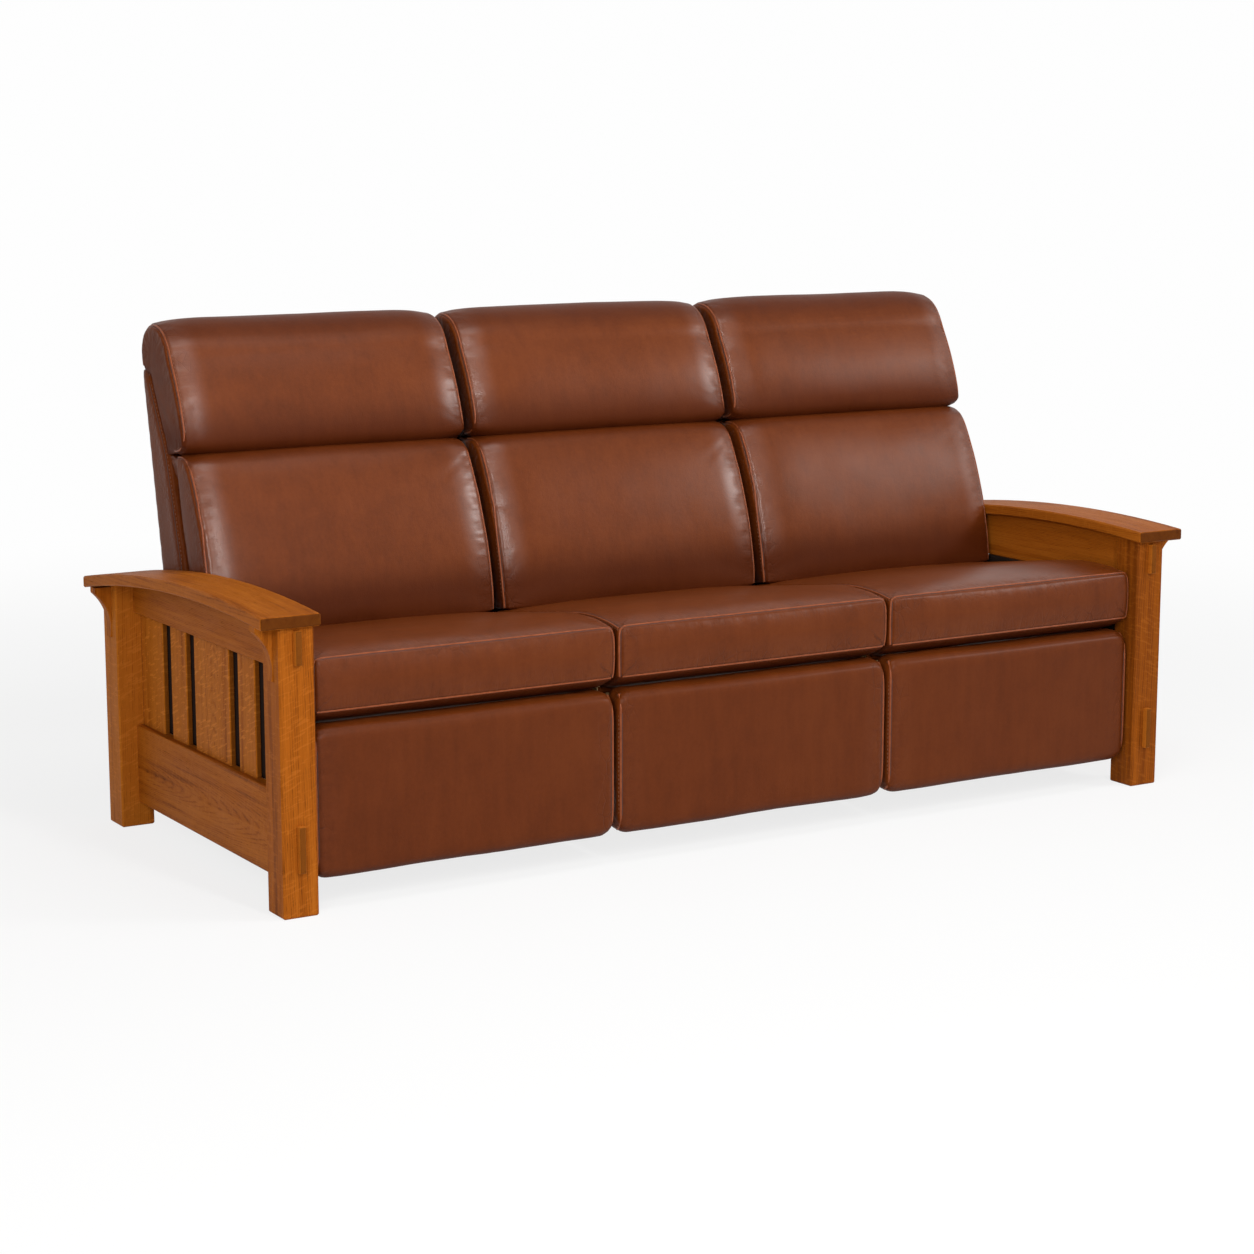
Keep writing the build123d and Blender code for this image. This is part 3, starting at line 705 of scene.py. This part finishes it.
def draw_skin(name, outline, half, draw, corner=0.0, edge=9.0, steps=4):
    """A closed skin in metres, from the outline in millimetres."""
    turns = [step / steps * math.pi / 2 for step in range(1, steps + 1)]
    bend = [(half - edge + edge * math.sin(turn), edge * (1 - math.cos(turn))) for turn in turns]
    run = half - edge
    count = round(2 * run / 14.0)
    rings = [(-across, inset) for across, inset in bend[::-1]]
    rings += [(-run + 2 * run * step / count, 0.0) for step in range(count + 1)]
    rings += bend
    net = bmesh.new()
    loops = []
    for across, inset in rings:
        points = [point for part in outline(draw) for point in part]
        points = set_in(points, inset) if inset else points
        middle = sum(point.y for point in points) / len(points)
        past = max(0.0, abs(across) - (half - corner))
        drop = corner - math.sqrt(max(0.0, corner**2 - past**2)) if corner else 0.0
        tall = max(abs(point.y - middle) for point in points)
        squeeze = (tall - drop) / tall
        loop = [(across / 1000, y / 1000, (middle + (z - middle) * squeeze) / 1000) for y, z in points]
        loops.append([net.verts.new(place) for place in loop])
    close_up(net, loops)
    bmesh.ops.triangulate(net, faces=[face for face in net.faces if len(face.verts) > 4])
    bmesh.ops.recalc_face_normals(net, faces=net.faces)
    return new_piece(name, net)


trial = draw_skin("trial skin", headrest_outline, back_half, 4.0)
print("a headrest skin starts with", len(trial.data.vertices), "points")
bpy.data.objects.remove(trial)

# %% [markdown]
# ## Where the seams run
#
# A seam is a path on the skin. The headrest and the lumbar cushion have one at each end, where the
# front panel meets the side panel. The seat cushion has a loop round its front boxing and a seam
# along each side of its top panel, and the footrest pad has one down each side of its face.

# %% Draw the seam paths


def end_seams(parts, half):
    """The same path at both ends of a cushion."""
    line = [point for part in parts for point in part]
    return [[Vector((side * half, *point)) / 1000 for point in line] for side in (-1, 1)]


def boxing_top(half, low_corner=10.0):
    """The line round the top of the seat's front boxing, down to its bottom corners."""
    front, low, high = at(24.0, 0.0).x, 385.0, 481.0 + 10.0
    angles = [step / 5 * math.pi / 2 for step in range(6)]
    turn = [(math.sin(angle), math.cos(angle)) for angle in angles]
    line = [(-half, low), (-half, (low + high) / 2)]
    line += [(-half + low_corner * (1 - down), high - low_corner * (1 - over)) for over, down in turn]
    line += [(-half * 0.5, high + 1.5), (0.0, high + 2.5), (half * 0.5, high + 1.5)]
    line += [(half - low_corner * (1 - over), high - low_corner * (1 - down)) for over, down in turn]
    line += [(half, (low + high) / 2), (half, low)]
    return [Vector((x, front, z)) / 1000 for x, z in line]


def boxing_bottom(half):
    """The welt along the bottom of the seat's front boxing."""
    return [Vector((share * half, at(24.0, 0.0).x, 385.0)) / 1000 for share in (-1.0, -0.5, 0.0, 0.5, 1.0)]


seat_parts, pad_parts = seat_outline(6.0), pad_outline(2.0)
seam_lines = {
    "seat": [
        boxing_top(cushion_half - 5.0),
        boxing_bottom(cushion_half - 8.0),
        *end_seams([seat_parts[1][1:], seat_parts[2]], cushion_half - 4.0),
    ],
    "lumbar": end_seams(lumbar_outline(10.0)[:2], back_half - 4.0),
    "headrest": end_seams(headrest_outline(10.0)[1:5], back_half - 4.0),
    "pad": end_seams([pad_parts[7], pad_parts[0], pad_parts[1]], cushion_half - 7.0),
}


def even_steps(line, spacing=0.004):
    """The path again, with points at an even spacing on a smooth line."""
    lengths = [0.0]
    for start, end in zip(line, line[1:]):
        lengths.append(lengths[-1] + (end - start).length)
    count = max(2, round(lengths[-1] / spacing))
    points, segment = [], 0
    for step in range(count + 1):
        run = lengths[-1] * step / count
        while segment < len(line) - 2 and lengths[segment + 1] < run:
            segment += 1
        share = (run - lengths[segment]) / (lengths[segment + 1] - lengths[segment])
        points.append(line[segment].lerp(line[segment + 1], min(1.0, share)))
    return points


for kind, lines in seam_lines.items():
    seam_lines[kind] = [even_steps(line) for line in lines]
    print(kind, "has", len(lines), "seams,", sum(len(line) for line in seam_lines[kind]) * 4, "mm in all")

# %% [markdown]
# ## Stuff the cushions
#
# A real cushion gets its shape from foam that pushes against a cover held back at its seams. Cloth
# simulation does the same: the skin is remeshed to even squares, its seams are pinned, and pressure
# fills it. Each kind is stuffed once, at the middle seat, and its points may move 24 mm at most. The
# result is scaled to the fullness that the photo shows.

# %% Remesh, pin and fill
voxel = 0.007
most_swell = 0.024
filling_frames = 20


def mesh_of(thing):
    """A plain mesh of an object with its modifiers applied."""
    graph = bpy.context.evaluated_depsgraph_get()
    return bpy.data.meshes.new_from_object(thing.evaluated_get(graph))


def apply_modifiers(thing):
    """Give an object the mesh that its modifiers make."""
    old, new = thing.data, mesh_of(thing)
    thing.modifiers.clear()
    thing.data = new
    bpy.data.meshes.remove(old)


def remesh(skin, square=voxel):
    """Rebuild a skin from even squares."""
    remesher = skin.modifiers.new("even squares", "REMESH")
    remesher.mode = "VOXEL"
    remesher.voxel_size = square
    apply_modifiers(skin)


def nearest_on(lines):
    """A search tree over seam points, with the way along for each."""
    tree = kdtree.KDTree(sum(len(line) for line in lines))
    runs, run = [], 0.0
    for line in lines:
        for before, point in zip(line[:1] + line[:-1], line):
            run += (point - before).length
            tree.insert(point, len(runs))
            runs.append(run)
        run += 0.5
    tree.balance()
    return tree, runs


def fill(skin, lines, fullness):
    """Push the panels out between their seams, by as much as the fullness in metres."""
    tree, runs = nearest_on(lines)
    distances = [tree.find(vertex.co)[2] for vertex in skin.data.vertices]
    start = [vertex.co.copy() for vertex in skin.data.vertices]
    normals = [vertex.normal.copy() for vertex in skin.data.vertices]
    sewn = skin.vertex_groups.new(name="sewn")
    sewn.add([index for index, distance in enumerate(distances) if distance < voxel], 1.0, "REPLACE")
    cloth = skin.modifiers.new("filling", "CLOTH")
    hide = cloth.settings
    hide.quality = 5
    hide.mass = 0.3
    hide.tension_stiffness = hide.compression_stiffness = 25.0
    hide.shear_stiffness = 12.0
    hide.bending_stiffness = 1.2
    hide.use_pressure = True
    hide.uniform_pressure_force = 4.0
    hide.vertex_group_mass = "sewn"
    hide.effector_weights.gravity = 0.0
    cloth.collision_settings.use_collision = False
    cloth.point_cache.frame_start, cloth.point_cache.frame_end = 1, filling_frames
    for moment in range(1, filling_frames + 1):
        studio.frame_set(moment)
    filled = mesh_of(skin)
    moves = [vertex.co - before for vertex, before in zip(filled.vertices, start)]
    moves = [move * min(1.0, most_swell / max(move.length, 1e-9)) for move in moves]
    out = sorted(move.dot(normal) for move, normal in zip(moves, normals))
    swell = out[int(len(out) * 0.95)]
    scale = min(1.0, fullness / max(swell, 1e-6))
    for vertex, before, move in zip(skin.data.vertices, start, moves):
        vertex.co = before + move * scale
    skin.modifiers.clear()
    skin.vertex_groups.clear()
    bpy.data.meshes.remove(filled)
    studio.frame_set(1)
    print(skin.name, "swelled", round(swell * 1000, 1), "mm and was scaled by", round(scale, 2))


masters = {}
for kind, outline, half, draw, corner, fullness in (
    ("seat", seat_outline, cushion_half, 8.0, 0.0, 0.010),
    ("lumbar", lumbar_outline, back_half, 8.0, 0.0, 0.013),
    ("headrest", headrest_outline, back_half, 8.0, 0.0, 0.013),
    ("pad", pad_outline, cushion_half, 3.0, 26.0, 0.004),
):
    skin = draw_skin(kind, outline, half, draw, corner)
    remesh(skin)
    fill(skin, seam_lines[kind], fullness)
    masters[kind] = skin
    print(kind, "has", len(skin.data.polygons), "squares")

# %% [markdown]
# ## Detail near the seams
#
# The stuffed skins are subdivided once and copied to the three seats. Beside a seam the hide dips
# into the stitching, stands up a little next to it and puckers across it. Each seat gets its own
# puckers and its own slow swell, because no two cushions are stuffed alike. The distance to the
# seam and the way along it are kept on the points for the leather's shader.

# %% Dip, pucker and copy the skins
seat_numbers = (1, 2, 3)
seam_reach = 0.06  # how far from a seam the hide still shows it


def middle_of(seat):
    """The way from the sofa's middle to the middle of one seat."""
    return (seat - 2) * seat_pitch / 1000


def softly(value, low, high):
    """0 below low, 1 above high, and a smooth rise between them."""
    share = min(1.0, max(0.0, (value - low) / (high - low)))
    return share * share * (3.0 - 2.0 * share)


# Where each kind of cover gets painted shade: turned under, low, facing the front and on top
painted_shade_turned_under = {"seat": (0.1, 0.6), "lumbar": (-0.1, 0.5), "headrest": (-0.3, 0.35), "pad": (0.2, 0.7)}
painted_shade_below = {"seat": (0.36, 0.385), "lumbar": (0.5, 0.59), "headrest": (0.825, 0.93), "pad": (0.05, 0.11)}
painted_shade_ahead = {"seat": 0.36, "lumbar": 0.0, "headrest": 0.0, "pad": 0.5}
painted_shade_above = {"seat": 0.0, "lumbar": 0.6, "headrest": 0.75, "pad": 0.2}
roll = {"seat": 0.004, "lumbar": 0.012, "headrest": 0.012, "pad": 0.003}
drawn_tight = {"seat": 0.1, "lumbar": 0.62, "headrest": 0.62, "pad": 0.06}
firm_sides = {"lumbar": 0.3268, "headrest": 0.3268}  # the arm boards begin at 0.3275
side_give = 0.0043


def held_in(x, most):
    """A distance from the middle, slowed near the end so that the cover clears the arm's board."""
    over = abs(x) - (most - side_give)
    if over <= 0:
        return x
    return math.copysign(most - side_give * math.exp(-over / side_give), x)


def settle(mesh, places, finishes, **kept):
    """Move the points, keep numbers on them, shade them smooth and set the finishes."""
    for vertex, place in zip(mesh.vertices, places):
        vertex.co = place
    for name, numbers in kept.items():
        mesh.attributes.new(name, "FLOAT", "POINT").data.foreach_set("value", numbers)
    mesh.polygons.foreach_set("use_smooth", [True] * len(mesh.polygons))
    mesh.materials.clear()
    for finish in finishes:
        mesh.materials.append(finish)


def seam_numbers(mesh, lines, start):
    """For each point the distance to the nearest seam and the way along it, and what the hide reads."""
    tree, runs = nearest_on(lines)
    found = [tree.find(vertex.co) for vertex in mesh.vertices]
    marks = [(distance, runs[index]) for spot, index, distance in found]
    near = [max(0.0, 1.0 - distance / seam_reach) for distance, run in marks]
    return marks, {"seam_near": near, "seam_run": [run + start for distance, run in marks]}


def cover(kind, seat, lines, pucker, swell=0.0016, dip=0.0016):
    """A copy of a stuffed skin for one seat, with its seams drawn in."""
    shift = Vector((middle_of(seat), 0.0, 0.0))
    piece = show(f"{kind}_cover_{seat}", masters[kind].data.copy())
    smoother = piece.modifiers.new("finer squares", "SUBSURF")
    smoother.levels = smoother.render_levels = 1
    apply_modifiers(piece)
    mesh = piece.data
    marks, kept = seam_numbers(mesh, lines, seat * 7.3)
    tuck, polish, moved = [], [], []
    for vertex, (distance, run) in zip(mesh.vertices, marks):
        # Painted shade: the hide is darker where it turns under, sits low, faces the front or lies on top.
        under = softly(-vertex.normal.z, *painted_shade_turned_under[kind])
        low = 1.0 - softly(vertex.co.z, *painted_shade_below[kind])
        ahead = painted_shade_ahead[kind] * softly(-vertex.normal.y, 0.3, 0.8)
        above = painted_shade_above[kind] * softly(vertex.normal.z, 0.4, 0.85)
        tuck.append(max(under, low, ahead, above))
        # Puckers stand across the seam in a band beside it.
        spot = vertex.co + shift
        wave = noise.noise(Vector((run * 46.0, seat * 5.1, distance * 12.0)))
        fine = noise.noise(Vector((run * 105.0, seat * 3.7, distance * 25.0)))
        beside = softly(distance, 0.003, 0.009) * (1.0 - softly(distance, 0.012, 0.042))
        fold = (wave + 0.45 * fine) * pucker * beside
        # The panel swells slowly, and at the seam it dips with a small edge.
        slow = noise.noise(spot * 5.0) * swell + noise.noise(spot * 13.0) * swell * 0.3
        slow = slow * softly(distance, 0.01, 0.06)
        groove = -dip * math.exp(-((distance / 0.0032) ** 2))
        edge = 0.0007 * math.exp(-(((distance - 0.008) / 0.004) ** 2))
        # The front panels, not the sides, shine where they are tight and roll up from the seam.
        fronted = 1.0 - softly(abs(vertex.normal.x), 0.3, 0.75)
        tight = drawn_tight[kind] * softly(0.07 - distance, 0.0, 0.045)
        polish.append(tight * (1.0 - tuck[-1]) * fronted)
        rolled = roll[kind] * (1.0 - math.exp(-distance / 0.034)) * fronted
        place = spot + vertex.normal * (fold + slow + groove + edge + rolled)
        if kind in firm_sides:
            place.x = shift.x + held_in(place.x - shift.x, firm_sides[kind])
        moved.append(place)
    # tuck carries the painted shade to the leather's colour
    settle(mesh, moved, (leather, back_leather), tuck=tuck, polish=polish, **kept)
    sideways = [int(abs(polygon.normal.x) > 0.6) for polygon in mesh.polygons]
    mesh.polygons.foreach_set("material_index", sideways)
    return piece


carriers = {
    "seat": ("seat", "seat_cushion"),
    "lumbar": ("back", "lumbar_cushion"),
    "headrest": ("back", "headrest"),
    "pad": ("footrest", "footrest_pad"),
}
covers = {}
for kind, (body, node) in carriers.items():
    for seat in seat_numbers:
        covers[kind, seat] = cover(kind, seat, seam_lines[kind], 0.0006 if kind == "seat" else 0.0013)
    print(kind, "covers have", len(covers[kind, 1].data.polygons), "squares each")
for skin in masters.values():
    bpy.data.objects.remove(skin)

# %% [markdown]
# ## Padded slabs behind the cushions
#
# Each back is a wooden frame in a padded cover, and the cushions are sewn to its front. Its sides
# show beside them as a strip. Its shape is the outline of the frame, so bevelled edges do more here
# than a simulation would. Below it a wooden tongue reaches down to the steel pins that it turns on.

# %% Build the slabs and their tongues
slab_front = ((0.885, 0.819), (0.637, 0.56), (0.444, 0.192), (0.345, 0.0))
slab_shares = ((1.0, 0.84), *slab_front, (0.285, -0.115), (0.68, -0.115))
slab_outline = [back_at(*shares) for shares in slab_shares]


def prism(name, points, low, high, finish):
    """A closed solid with the outline at both ends, in metres from millimetres."""
    net = bmesh.new()
    close_up(net, [[net.verts.new(Vector((x, y, z)) / 1000) for y, z in points] for x in (low, high)])
    bmesh.ops.recalc_face_normals(net, faces=net.faces)
    return new_piece(name, net, finish)


def bevel(piece, width, segments):
    """Round every edge, and split the big faces so that they can be shaped."""
    rounding = piece.modifiers.new("round edges", "BEVEL")
    rounding.width = width
    rounding.segments = segments
    rounding.limit_method = "ANGLE"
    rounding.angle_limit = math.radians(4.0)
    apply_modifiers(piece)


def slab_seams(centre):
    """Seams down both sides, near the cushions, and round the rear panel."""
    inner = [point + Vector((9.0, 0.0)) for point in slab_outline[1:5]]
    sides = [[Vector((centre + side * back_half, *point)) / 1000 for point in inner] for side in (-1, 1)]
    top, foot = slab_outline[0], slab_outline[6]
    down = (foot - top).normalized()
    high, low = top + down * 30.0, foot - down * 30.0
    corners = [(-1, high), (1, high), (1, low), (-1, low), (-1, high)]
    rear = [Vector((centre + side * (back_half - 24.0), *point)) / 1000 for side, point in corners]
    return [even_steps(line, 0.006) for line in (*sides, rear)]


def build_slab(seat):
    """One padded slab, remeshed so that its panels can swell between their seams."""
    centre = middle_of(seat) * 1000
    ends = (centre - back_half, centre + back_half)
    slab = prism(f"slab_cover_{seat}", slab_outline, *ends, back_leather)
    bevel(slab, 0.011, 4)
    remesh(slab, 0.0075)
    lines = slab_seams(centre)
    marks, kept = seam_numbers(slab.data, lines, seat * 4.9)
    moved = []
    for vertex, (distance, run) in zip(slab.data.vertices, marks):
        plump = softly(distance, 0.0, 0.12) * 0.006 * softly(vertex.normal.y, 0.5, 0.9)
        slow = noise.noise(vertex.co * 4.5) * 0.0014 * softly(distance, 0.01, 0.05)
        groove = -0.0016 * math.exp(-((distance / 0.004) ** 2))
        moved.append(vertex.co + vertex.normal * (plump + slow + groove))
    settle(slab.data, moved, (back_leather,), **kept)
    return slab, lines


slabs, slab_lines = {}, {}
tongue_half = 299.0
tongue_box = [at(577.0, 302.0), at(715.0, 302.0), at(715.0, 390.0), at(577.0, 390.0)]
for seat in seat_numbers:
    slabs[seat], slab_lines[seat] = build_slab(seat)
    centre = middle_of(seat) * 1000
    ends = (centre - tongue_half, centre + tongue_half)
    tongue = prism(f"back_tongue_{seat}", tongue_box, *ends, plain_wood)
    bevel(tongue, 0.002, 2)
    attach(tongue, f"back_{seat}")
print("slab covers have", len(slabs[1].data.polygons), "squares each")

# %% [markdown]
# ## Linings behind the slats and under the cushions
#
# Nothing bright shows between the slats in the photo, so a dark lining is taken to be tacked behind
# them; its near-black colour is partly the cloth and partly painted shade deep in the gaps. It is
# stretched cloth that bellies a little where a gap leaves it free. Under each seat cushion a narrow
# apron of hide covers the bare front rail of the seat frame.

# %% Stretch the linings and the aprons
# Black-brown woven cloth, near black also as painted shade for the slat gaps
net = Finish("dark lining")
x, y, z = net.axes()
weave = net.maths("SINE", z * 4400.0) * net.maths("SINE", y * 4400.0)
dust = net.clouds(net.place(), 26.0, 3.0)
colour = net.mixed(dust * 0.6 + weave * 0.2, tint(20, 12, 9), tint(44, 28, 20))
normal = net.relief(weave, 0.0002, 0.6)
rough = dust * 0.1 + 0.85
lining_cloth = net.surface(Base_Color=colour, Roughness=rough, Normal=normal, Specular_IOR_Level=0.1)


def stretched_cloth(name, body, size, steps, thick, finish, spot, which):
    """A thin closed cloth, with its points placed by a function of two shares and a depth."""
    net = bmesh.new()
    wide, tall = steps
    shares = [v / tall for v in range(tall + 1)]
    edge = [(v, 0.0) for v in shares] + [(v, thick) for v in reversed(shares)]
    close_up(net, [[net.verts.new(spot(which, u / wide, *place)) for place in edge] for u in range(wide + 1)])
    bmesh.ops.recalc_face_normals(net, faces=net.faces)
    piece = new_piece(name, net, finish)
    piece.data.polygons.foreach_set("use_smooth", [True] * len(piece.data.polygons))
    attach(piece, body)


lining_size, apron_size = (0.753, 0.2414), (0.658, 0.0135)


def lining_spot(sign, u, v, depth):
    """Across, along and up behind the slats of one side."""
    slack = noise.noise(Vector((u * 9.0, v * 4.0, sign))) * 0.0001
    length, height = lining_size
    return Vector((sign * (1.0127 + depth + slack), -0.3715 + length * u, 0.2203 + height * v))


def apron_spot(seat, u, v, depth):
    """Across, along and up in front of one seat frame's front rail."""
    pull = noise.noise(Vector((u * 20.0, v * 2.0, seat * 3.3))) * 0.0002
    length, height = apron_size
    return Vector((middle_of(seat) + length * (u - 0.5), -0.3358 - depth + pull, 0.3375 + height * v))


for side, sign in (("left", -1.0), ("right", 1.0)):
    cloth = (lining_size, (72, 24), 0.0004, lining_cloth, lining_spot, sign)
    stretched_cloth(f"slat_lining_{side}", "frame", *cloth)
for seat in seat_numbers:
    cloth = (apron_size, (80, 4), 0.0012, back_leather, apron_spot, seat)
    stretched_cloth(f"seat_apron_{seat}", f"seat_{seat}", *cloth)
print("two linings and three aprons are in place")

# %% [markdown]
# ## Sewing
#
# Each seam is a dark line where two hides meet, with a raised rib beside it where the fold of the
# side panel lies over its own edge, and a row of topstitches next to that. The rib and the stitches
# follow paths that are laid on the finished covers. Two node trees make them: one sweeps a round
# section along a path, and one sets a small stitch at every step of it. Both end in plain geometry
# with its material, because the finished piece is a mesh like any other.

# %% Write the two node trees


class Sewing(Net):
    """A geometry tree that turns a path into a mesh, with sizes that each use of it may set."""

    def __init__(self, name, **sizes):
        super().__init__(bpy.data.node_groups.new(name, "GeometryNodeTree"))
        self.tree.is_modifier = True
        self.opening("Path", "Geometry")
        for label, size in sizes.items():
            self.opening(label, "Float").default_value = size
        self.opening("Material", "Material")
        self.opening("Mesh", "Geometry", "OUTPUT")

    def opening(self, label, kind, way="INPUT"):
        return self.tree.interface.new_socket(label, in_out=way, socket_type=f"NodeSocket{kind}")

    def given(self, label):
        return self.node("NodeGroupInput", output=label)

    def line(self):
        """The path as a curve."""
        return self.node("GeometryNodeMeshToCurve", Mesh=self.given("Path"))

    def out(self):
        """The way out of the hide, kept on the points of the path."""
        return self.node("GeometryNodeInputNamedAttribute", {"data_type": "FLOAT_VECTOR"}, Name="out")

    def close(self, shape):
        """End in plain, smooth geometry with its material."""
        for kind in ("RealizeInstances", "SetShadeSmooth"):
            shape = self.node(f"GeometryNode{kind}", None, {0: shape})
        shape = self.node("GeometryNodeSetMaterial", Geometry=shape, Material=self.given("Material"))
        self.node("NodeGroupOutput", Mesh=shape)
        return self.tree


# A round rib that is swept along the path and lifted off the hide
rib = Sewing("rib along a seam", Radius=0.0018, Lift=0.0)
lift = rib.maths("SCALE", rib.out(), kind="VectorMath", Scale=rib.given("Lift"))
moved = rib.node("GeometryNodeSetPosition", Geometry=rib.line(), Offset=lift)
ring = rib.node("GeometryNodeCurvePrimitiveCircle", Resolution=8, Radius=rib.given("Radius"))
swept = rib.node("GeometryNodeCurveToMesh", Curve=moved, Profile_Curve=ring, Fill_Caps=True)
rib_tree = rib.close(swept)

# A stitch at every step of the path, flat on the hide and along the seam
row = Sewing("stitches along a seam", Step=0.0085, Length=0.0062, Thickness=0.0016)
path, step = row.line(), row.given("Step")
steps = row.node("GeometryNodeResampleCurve", {"mode": "LENGTH"}, Curve=path, Length=step)
turn, tangent = "FunctionNodeAlignRotationToVector", row.node("GeometryNodeInputTangent")
along = row.node(turn, {"axis": "X"}, Vector=tangent)
flat = row.node(turn, {"axis": "Z", "pivot_axis": "X"}, Rotation=along, Vector=row.out())
grain_sides, grain_rings = 8, 5
grain = row.node("GeometryNodeMeshUVSphere", Segments=grain_sides, Rings=grain_rings, Radius=0.5)
size = row.point(row.given("Length"), row.given("Thickness"), row.given("Thickness"))
placed = {"Points": steps, "Instance": grain, "Rotation": flat, "Scale": size}
stitch_tree = row.close(row.node("GeometryNodeInstanceOnPoints", None, placed))
print(rib_tree.name, "and", stitch_tree.name, "are written")

# %% Lay paths on the covers and run the trees
rib_offset, stitch_offset, slab_stitch_offset = 0.0034, 0.0078, 0.005
seat_top, top_pull = 0.47, 4.0  # above this height, outwards also means upwards
few_rounds, many_rounds = 9, 36
groove_sizes = {"Radius": 0.0011, "Lift": -0.0004, "Material": seam_leather}
rib_sizes = {"Radius": 0.0023, "Lift": 0.0, "Material": rib_leather}


def surface_of(piece):
    """A search tree over the faces of a cover."""
    points = [vertex.co for vertex in piece.data.vertices]
    return BVHTree.FromPolygons(points, [tuple(polygon.vertices) for polygon in piece.data.polygons])


def lay(surface, line, centre, offset=0.0, rounds=few_rounds):
    """A seam line set on the skin, moved outwards by the offset and smoothed in rounds."""
    laid = []
    for before, here, after in zip(line[:1] + line[:-1], line, line[1:] + line[-1:]):
        spot, normal, *rest = surface.find_nearest(here)
        sideways = normal.cross((after - before).normalized())
        upwards = max(0.0, here.z - seat_top) * top_pull if offset else 0.0
        if sideways.dot(Vector((here.x - centre, 0.0, upwards))) < 0:
            sideways = -sideways
        if offset:
            spot, normal, *rest = surface.find_nearest(spot + sideways * offset)
        laid.append((spot, normal))
    for turn in range(rounds):
        inner = []
        for before, here, after in zip(laid, laid[1:], laid[2:]):
            spot, normal = [(before[part] + here[part] * 2 + after[part]) / 4 for part in (0, 1)]
            inner.append((spot, normal.normalized()))
        laid = [laid[0], *inner, laid[-1]]
    return laid


def run_tree(name, tree, laid_lines, values, body):
    """Run a geometry tree over laid lines, and keep its result as a plain mesh that rides on a body."""
    points = [spot for laid in laid_lines for spot, normal in laid]
    normals = [normal for laid in laid_lines for spot, normal in laid]
    edges, start = [], 0
    for laid in laid_lines:
        edges += [(start + step, start + step + 1) for step in range(len(laid) - 1)]
        start += len(laid)
    mesh = bpy.data.meshes.new(name)
    mesh.from_pydata(points, edges, [])
    outwards = mesh.attributes.new("out", "FLOAT_VECTOR", "POINT")
    outwards.data.foreach_set("vector", [part for normal in normals for part in normal])
    piece = show(name, mesh)
    sewing = piece.modifiers.new("sewing", "NODES")
    sewing.node_group = tree
    for socket in tree.interface.items_tree:
        if socket.in_out == "INPUT" and socket.name in values:
            sewing[socket.identifier] = values[socket.name]
    apply_modifiers(piece)
    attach(piece, body)
    return piece


stitch_count = 0
for seat in seat_numbers:
    shift = Vector((middle_of(seat), 0.0, 0.0))
    groups = {f"back_{seat}": ("lumbar", "headrest"), f"seat_{seat}": ("seat",), f"footrest_{seat}": ("pad",)}
    for body, names in groups.items():
        grooves, ribs, rows = [], [], []
        for kind in names:
            surface = surface_of(covers[kind, seat])
            for number, line in enumerate(seam_lines[kind]):
                place = (surface, [point + shift for point in line], shift.x)
                boxed, welted = [kind == "seat" and number == one for one in (0, 1)]
                rounds = few_rounds if boxed else many_rounds
                if not welted:
                    grooves.append(lay(*place, rounds=rounds))
                ribs.append(lay(*place, 0.0 if welted else rib_offset, rounds))
                if not welted and not boxed:
                    rows.append(lay(*place, stitch_offset, rounds))
        if body.startswith("back"):
            surface = surface_of(slabs[seat])
            for line in slab_lines[seat]:
                grooves.append(lay(surface, line, shift.x))
                rows.append(lay(surface, line, shift.x, slab_stitch_offset))
        run_tree(f"seam_lines_{body}", rib_tree, grooves, groove_sizes, body)
        run_tree(f"seam_ribs_{body}", rib_tree, ribs, rib_sizes, body)
        if rows:
            made = run_tree(f"stitches_{body}", stitch_tree, rows, {"Material": thread}, body)
            stitch_count += len(made.data.polygons) // (grain_sides * grain_rings)
print(stitch_count, "stitches")

# %% [markdown]
# ## Put the covers on
#
# Each cover stands for the solid that it hides and moves with the same body.

# %% Hang the covers on their bodies
for (kind, seat), piece in covers.items():
    body, node = carriers[kind]
    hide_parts(f"{node}_{seat}")
    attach(piece, f"{body}_{seat}")
for seat, slab in slabs.items():
    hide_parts(f"back_frame_{seat}")
    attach(slab, f"back_{seat}")
print(len(covers) + len(slabs), "covers ride on their bodies")
